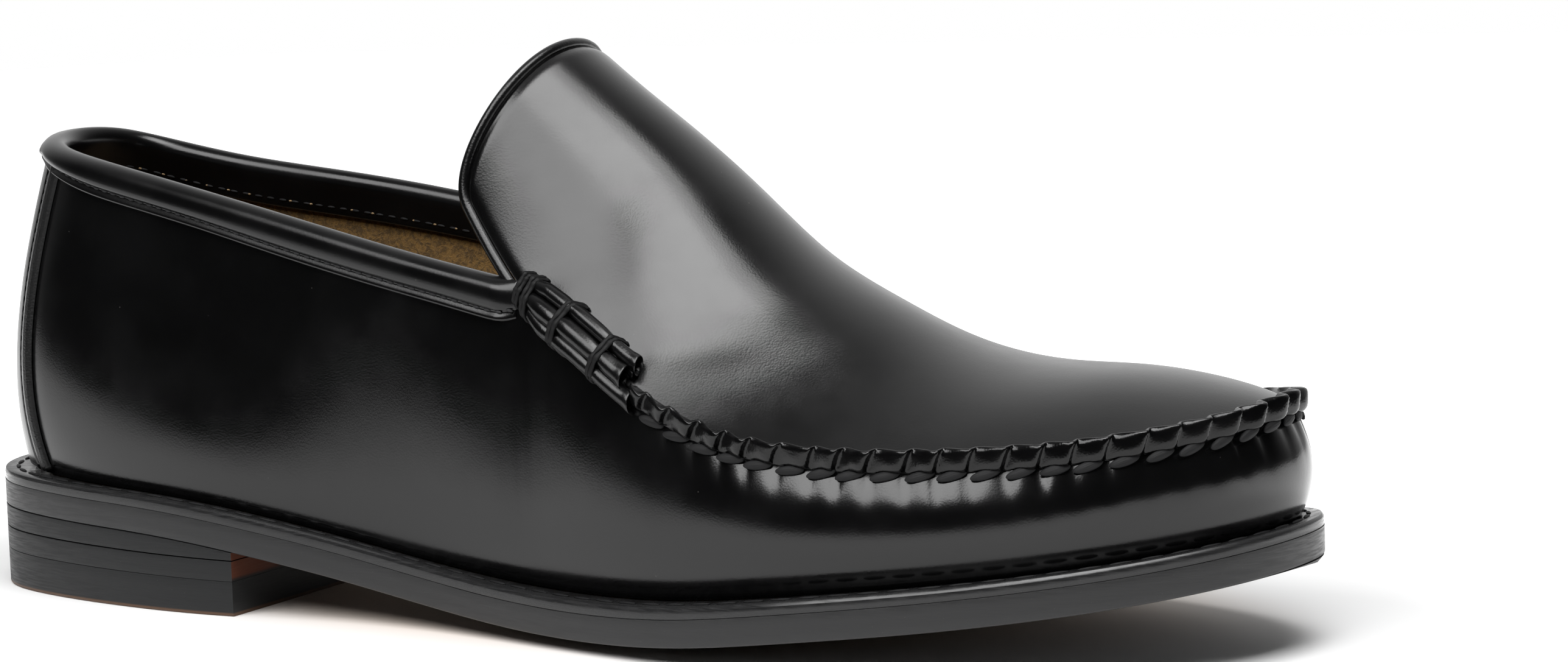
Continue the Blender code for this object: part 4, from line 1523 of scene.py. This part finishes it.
def welt_stitches():
    def line(place):
        plan = sole_outline(place, WELT_STITCH_INSET)
        rise = edge_height(plan[..., 0]) + over_sole + WELT_THICK + 0.1
        return np.concatenate([plan, rise[..., None]], axis=-1)

    places = paced(line, 0.0, SOLE_LOOP, WELT_STITCH_PITCH)
    row = (line(places), along_line(line, places), np.tile(UP, (len(places), 1)))
    stitch_row("welt_stitches", *row, WELT_STITCH_SIZE, seam_thread, slot="sole_edge")


welt_look = {"slot": "sole_edge", "replaces": ["welt"]}
ring_body("stitched_welt", 480, len(welt_rows) - 1, welt_surface, welt_ink, **welt_look)
welt_stitches()

# %% [markdown]
# The shoe stands on a pale floor under three soft boxes, as in a small studio: the first draws the
# broad highlight on the tongue, the second the streak on the toe, and the third the light on the far
# side. The floor glows behind the shoe, so that it turns white there. In front of the shoe it is a
# painted shade of grey, which the lower wall reflects dark. Close round the shoe it has a painted warm
# tint that stands in for light bounced off the brown sole into its shadow. The room is dark except on
# the far side.

# %% Floor, lights and room
FLOOR_FRONT = -0.4
FLOOR_BACK = 4.0
FLOOR_HALF_WIDTH = 3.0
FLOOR_CELLS = (24, 4)
FLOOR_STRETCH = (1.0, 2.0, 1.0)
FLOOR_SHIFT = (0.0, -0.04, 0.0)
FLOOR_WHITE = (0.94, 0.94, 0.94)
# painted shade: a grey for the floor in front of the shoe, which the lower wall reflects as a dark room
FLOOR_PAINTED_SHADE_GREY = (0.45, 0.45, 0.45)
# painted bounce light: a warm tint for the floor close round the shoe, standing in for light thrown off the brown
# sole into its shadow
FLOOR_PAINTED_WARM_BOUNCE = (0.90, 0.72, 0.58)
LAMP_TURN = -20.0
LAMPS = (
    # name, place, size, radiance
    ("tongue_box", (-0.22, -1.03, 1.06), (1.07, 1.00), 5.6),
    ("toe_box", (0.31, -0.36, 1.06), (0.56, 0.62), 8.2),
    ("back_box", (0.44, 0.02, 1.06), (0.56, 0.20), 5.0),
)
ROOM_FAR_SIDE = (-0.36, 0.86, 0.36)
ROOM_DARK = 0.01
ROOM_BRIGHT = 0.95


def floor_finish():
    finish = Finish("white_floor", (0.9, 0.9, 0.9), 0.9, Emission_Strength=1.0)
    spot = finish.where(FLOOR_STRETCH, FLOOR_SHIFT)
    along = finish.axis(spot, 0)
    across = finish.axis(spot, 1)
    away = (along * along + across * across) ** 0.5
    glow = finish.ease(away, 0.17, 0.30, 0.0, 0.9) * finish.ease(across, -0.2, 0.1)
    lit = finish.blend(glow, (0.0, 0.0, 0.0), (1.0, 1.0, 1.0))
    # painted bounce light: the floor turns warm close round the shoe, which tints its shadow brown
    tone = finish.blend(finish.ease(away, 0.07, 0.15), FLOOR_PAINTED_WARM_BOUNCE, FLOOR_WHITE)
    # painted shade: the floor turns grey towards the camera, so the shoe's lower wall reflects it dark
    tone = finish.blend(finish.ease(across, -0.8, -0.28), FLOOR_PAINTED_SHADE_GREY, tone)
    return finish.give(Emission_Color=lit, Base_Color=tone)


def make_floor():
    mesh = bmesh.new()
    bmesh.ops.create_grid(mesh, x_segments=FLOOR_CELLS[0], y_segments=FLOOR_CELLS[1], size=0.5)
    for vertex in mesh.verts:
        back = FLOOR_FRONT + (vertex.co.y + 0.5) * (FLOOR_BACK - FLOOR_FRONT)
        vertex.co = (vertex.co.x * 2 * FLOOR_HALF_WIDTH, back, 0.0)
    data = bpy.data.meshes.new("studio_floor")
    mesh.to_mesh(data)
    mesh.free()
    data.materials.append(floor_finish())
    placed("studio_floor", data)


def softbox(name, place, size, radiance):
    lamp = bpy.data.lights.new(name, "AREA")
    lamp.shape = "RECTANGLE"
    lamp.size, lamp.size_y = size
    lamp.energy = radiance * math.pi * size[0] * size[1]
    holder = placed(name, lamp)
    holder.location = place
    holder.rotation_euler = (0.0, 0.0, math.radians(LAMP_TURN))
    holder.visible_camera = False


def make_room():
    world = bpy.data.worlds.new("studio")
    bpy.context.scene.world = world
    room = Nodes(world)
    way = {0: room.node("ShaderNodeTexCoord", output="Generated"), 1: ROOM_FAR_SIDE}
    facing = room.node("ShaderNodeVectorMath", {"operation": "DOT_PRODUCT"}, way, "Value")
    share = room.node("ShaderNodeMapRange", {}, {"Value": facing, "From Min": 0.1, "From Max": 1.0})
    ray = room.node("ShaderNodeLightPath", output="Is Camera Ray")
    light = share**2.0 * ROOM_BRIGHT + ROOM_DARK
    seen = room.node("ShaderNodeMix", {}, {0: ray, 2: light, 3: 1.0})
    background = room.tree.nodes["Background"]
    background.inputs["Color"].default_value = (1.0, 1.0, 1.0, 1.0)
    room.tree.links.new(seen.socket, background.inputs["Strength"])


make_floor()
for lamp_row in LAMPS:
    softbox(*lamp_row)
make_room()
bpy.context.scene.view_settings.view_transform = "Standard"

# %% [markdown]
# The camera stands about 70 cm away near the toe, a little above the shoe, and looks back along
# its outer side. Its place and turn were worked out from the shoe's own points in the photograph.

# %% Camera
CAMERA_PLACE = (0.35064, -0.58154, 0.13139)
YAW = 27.935
PITCH = 6.348
ROLL = -1.675
LENS = 76.65

lens = bpy.data.cameras.new("camera")
lens.lens = LENS
lens.sensor_width = 36.0
lens.clip_start = 0.01
camera = placed("camera", lens)
camera.matrix_world = Matrix.Translation(CAMERA_PLACE)
for angle, axis in ((YAW, "Z"), (90 - PITCH, "X"), (ROLL, "Z")):
    camera.matrix_world = camera.matrix_world @ Matrix.Rotation(math.radians(angle), 4, axis)
bpy.context.scene.camera = camera
print("camera and", len(LAMPS), "lamps in place")
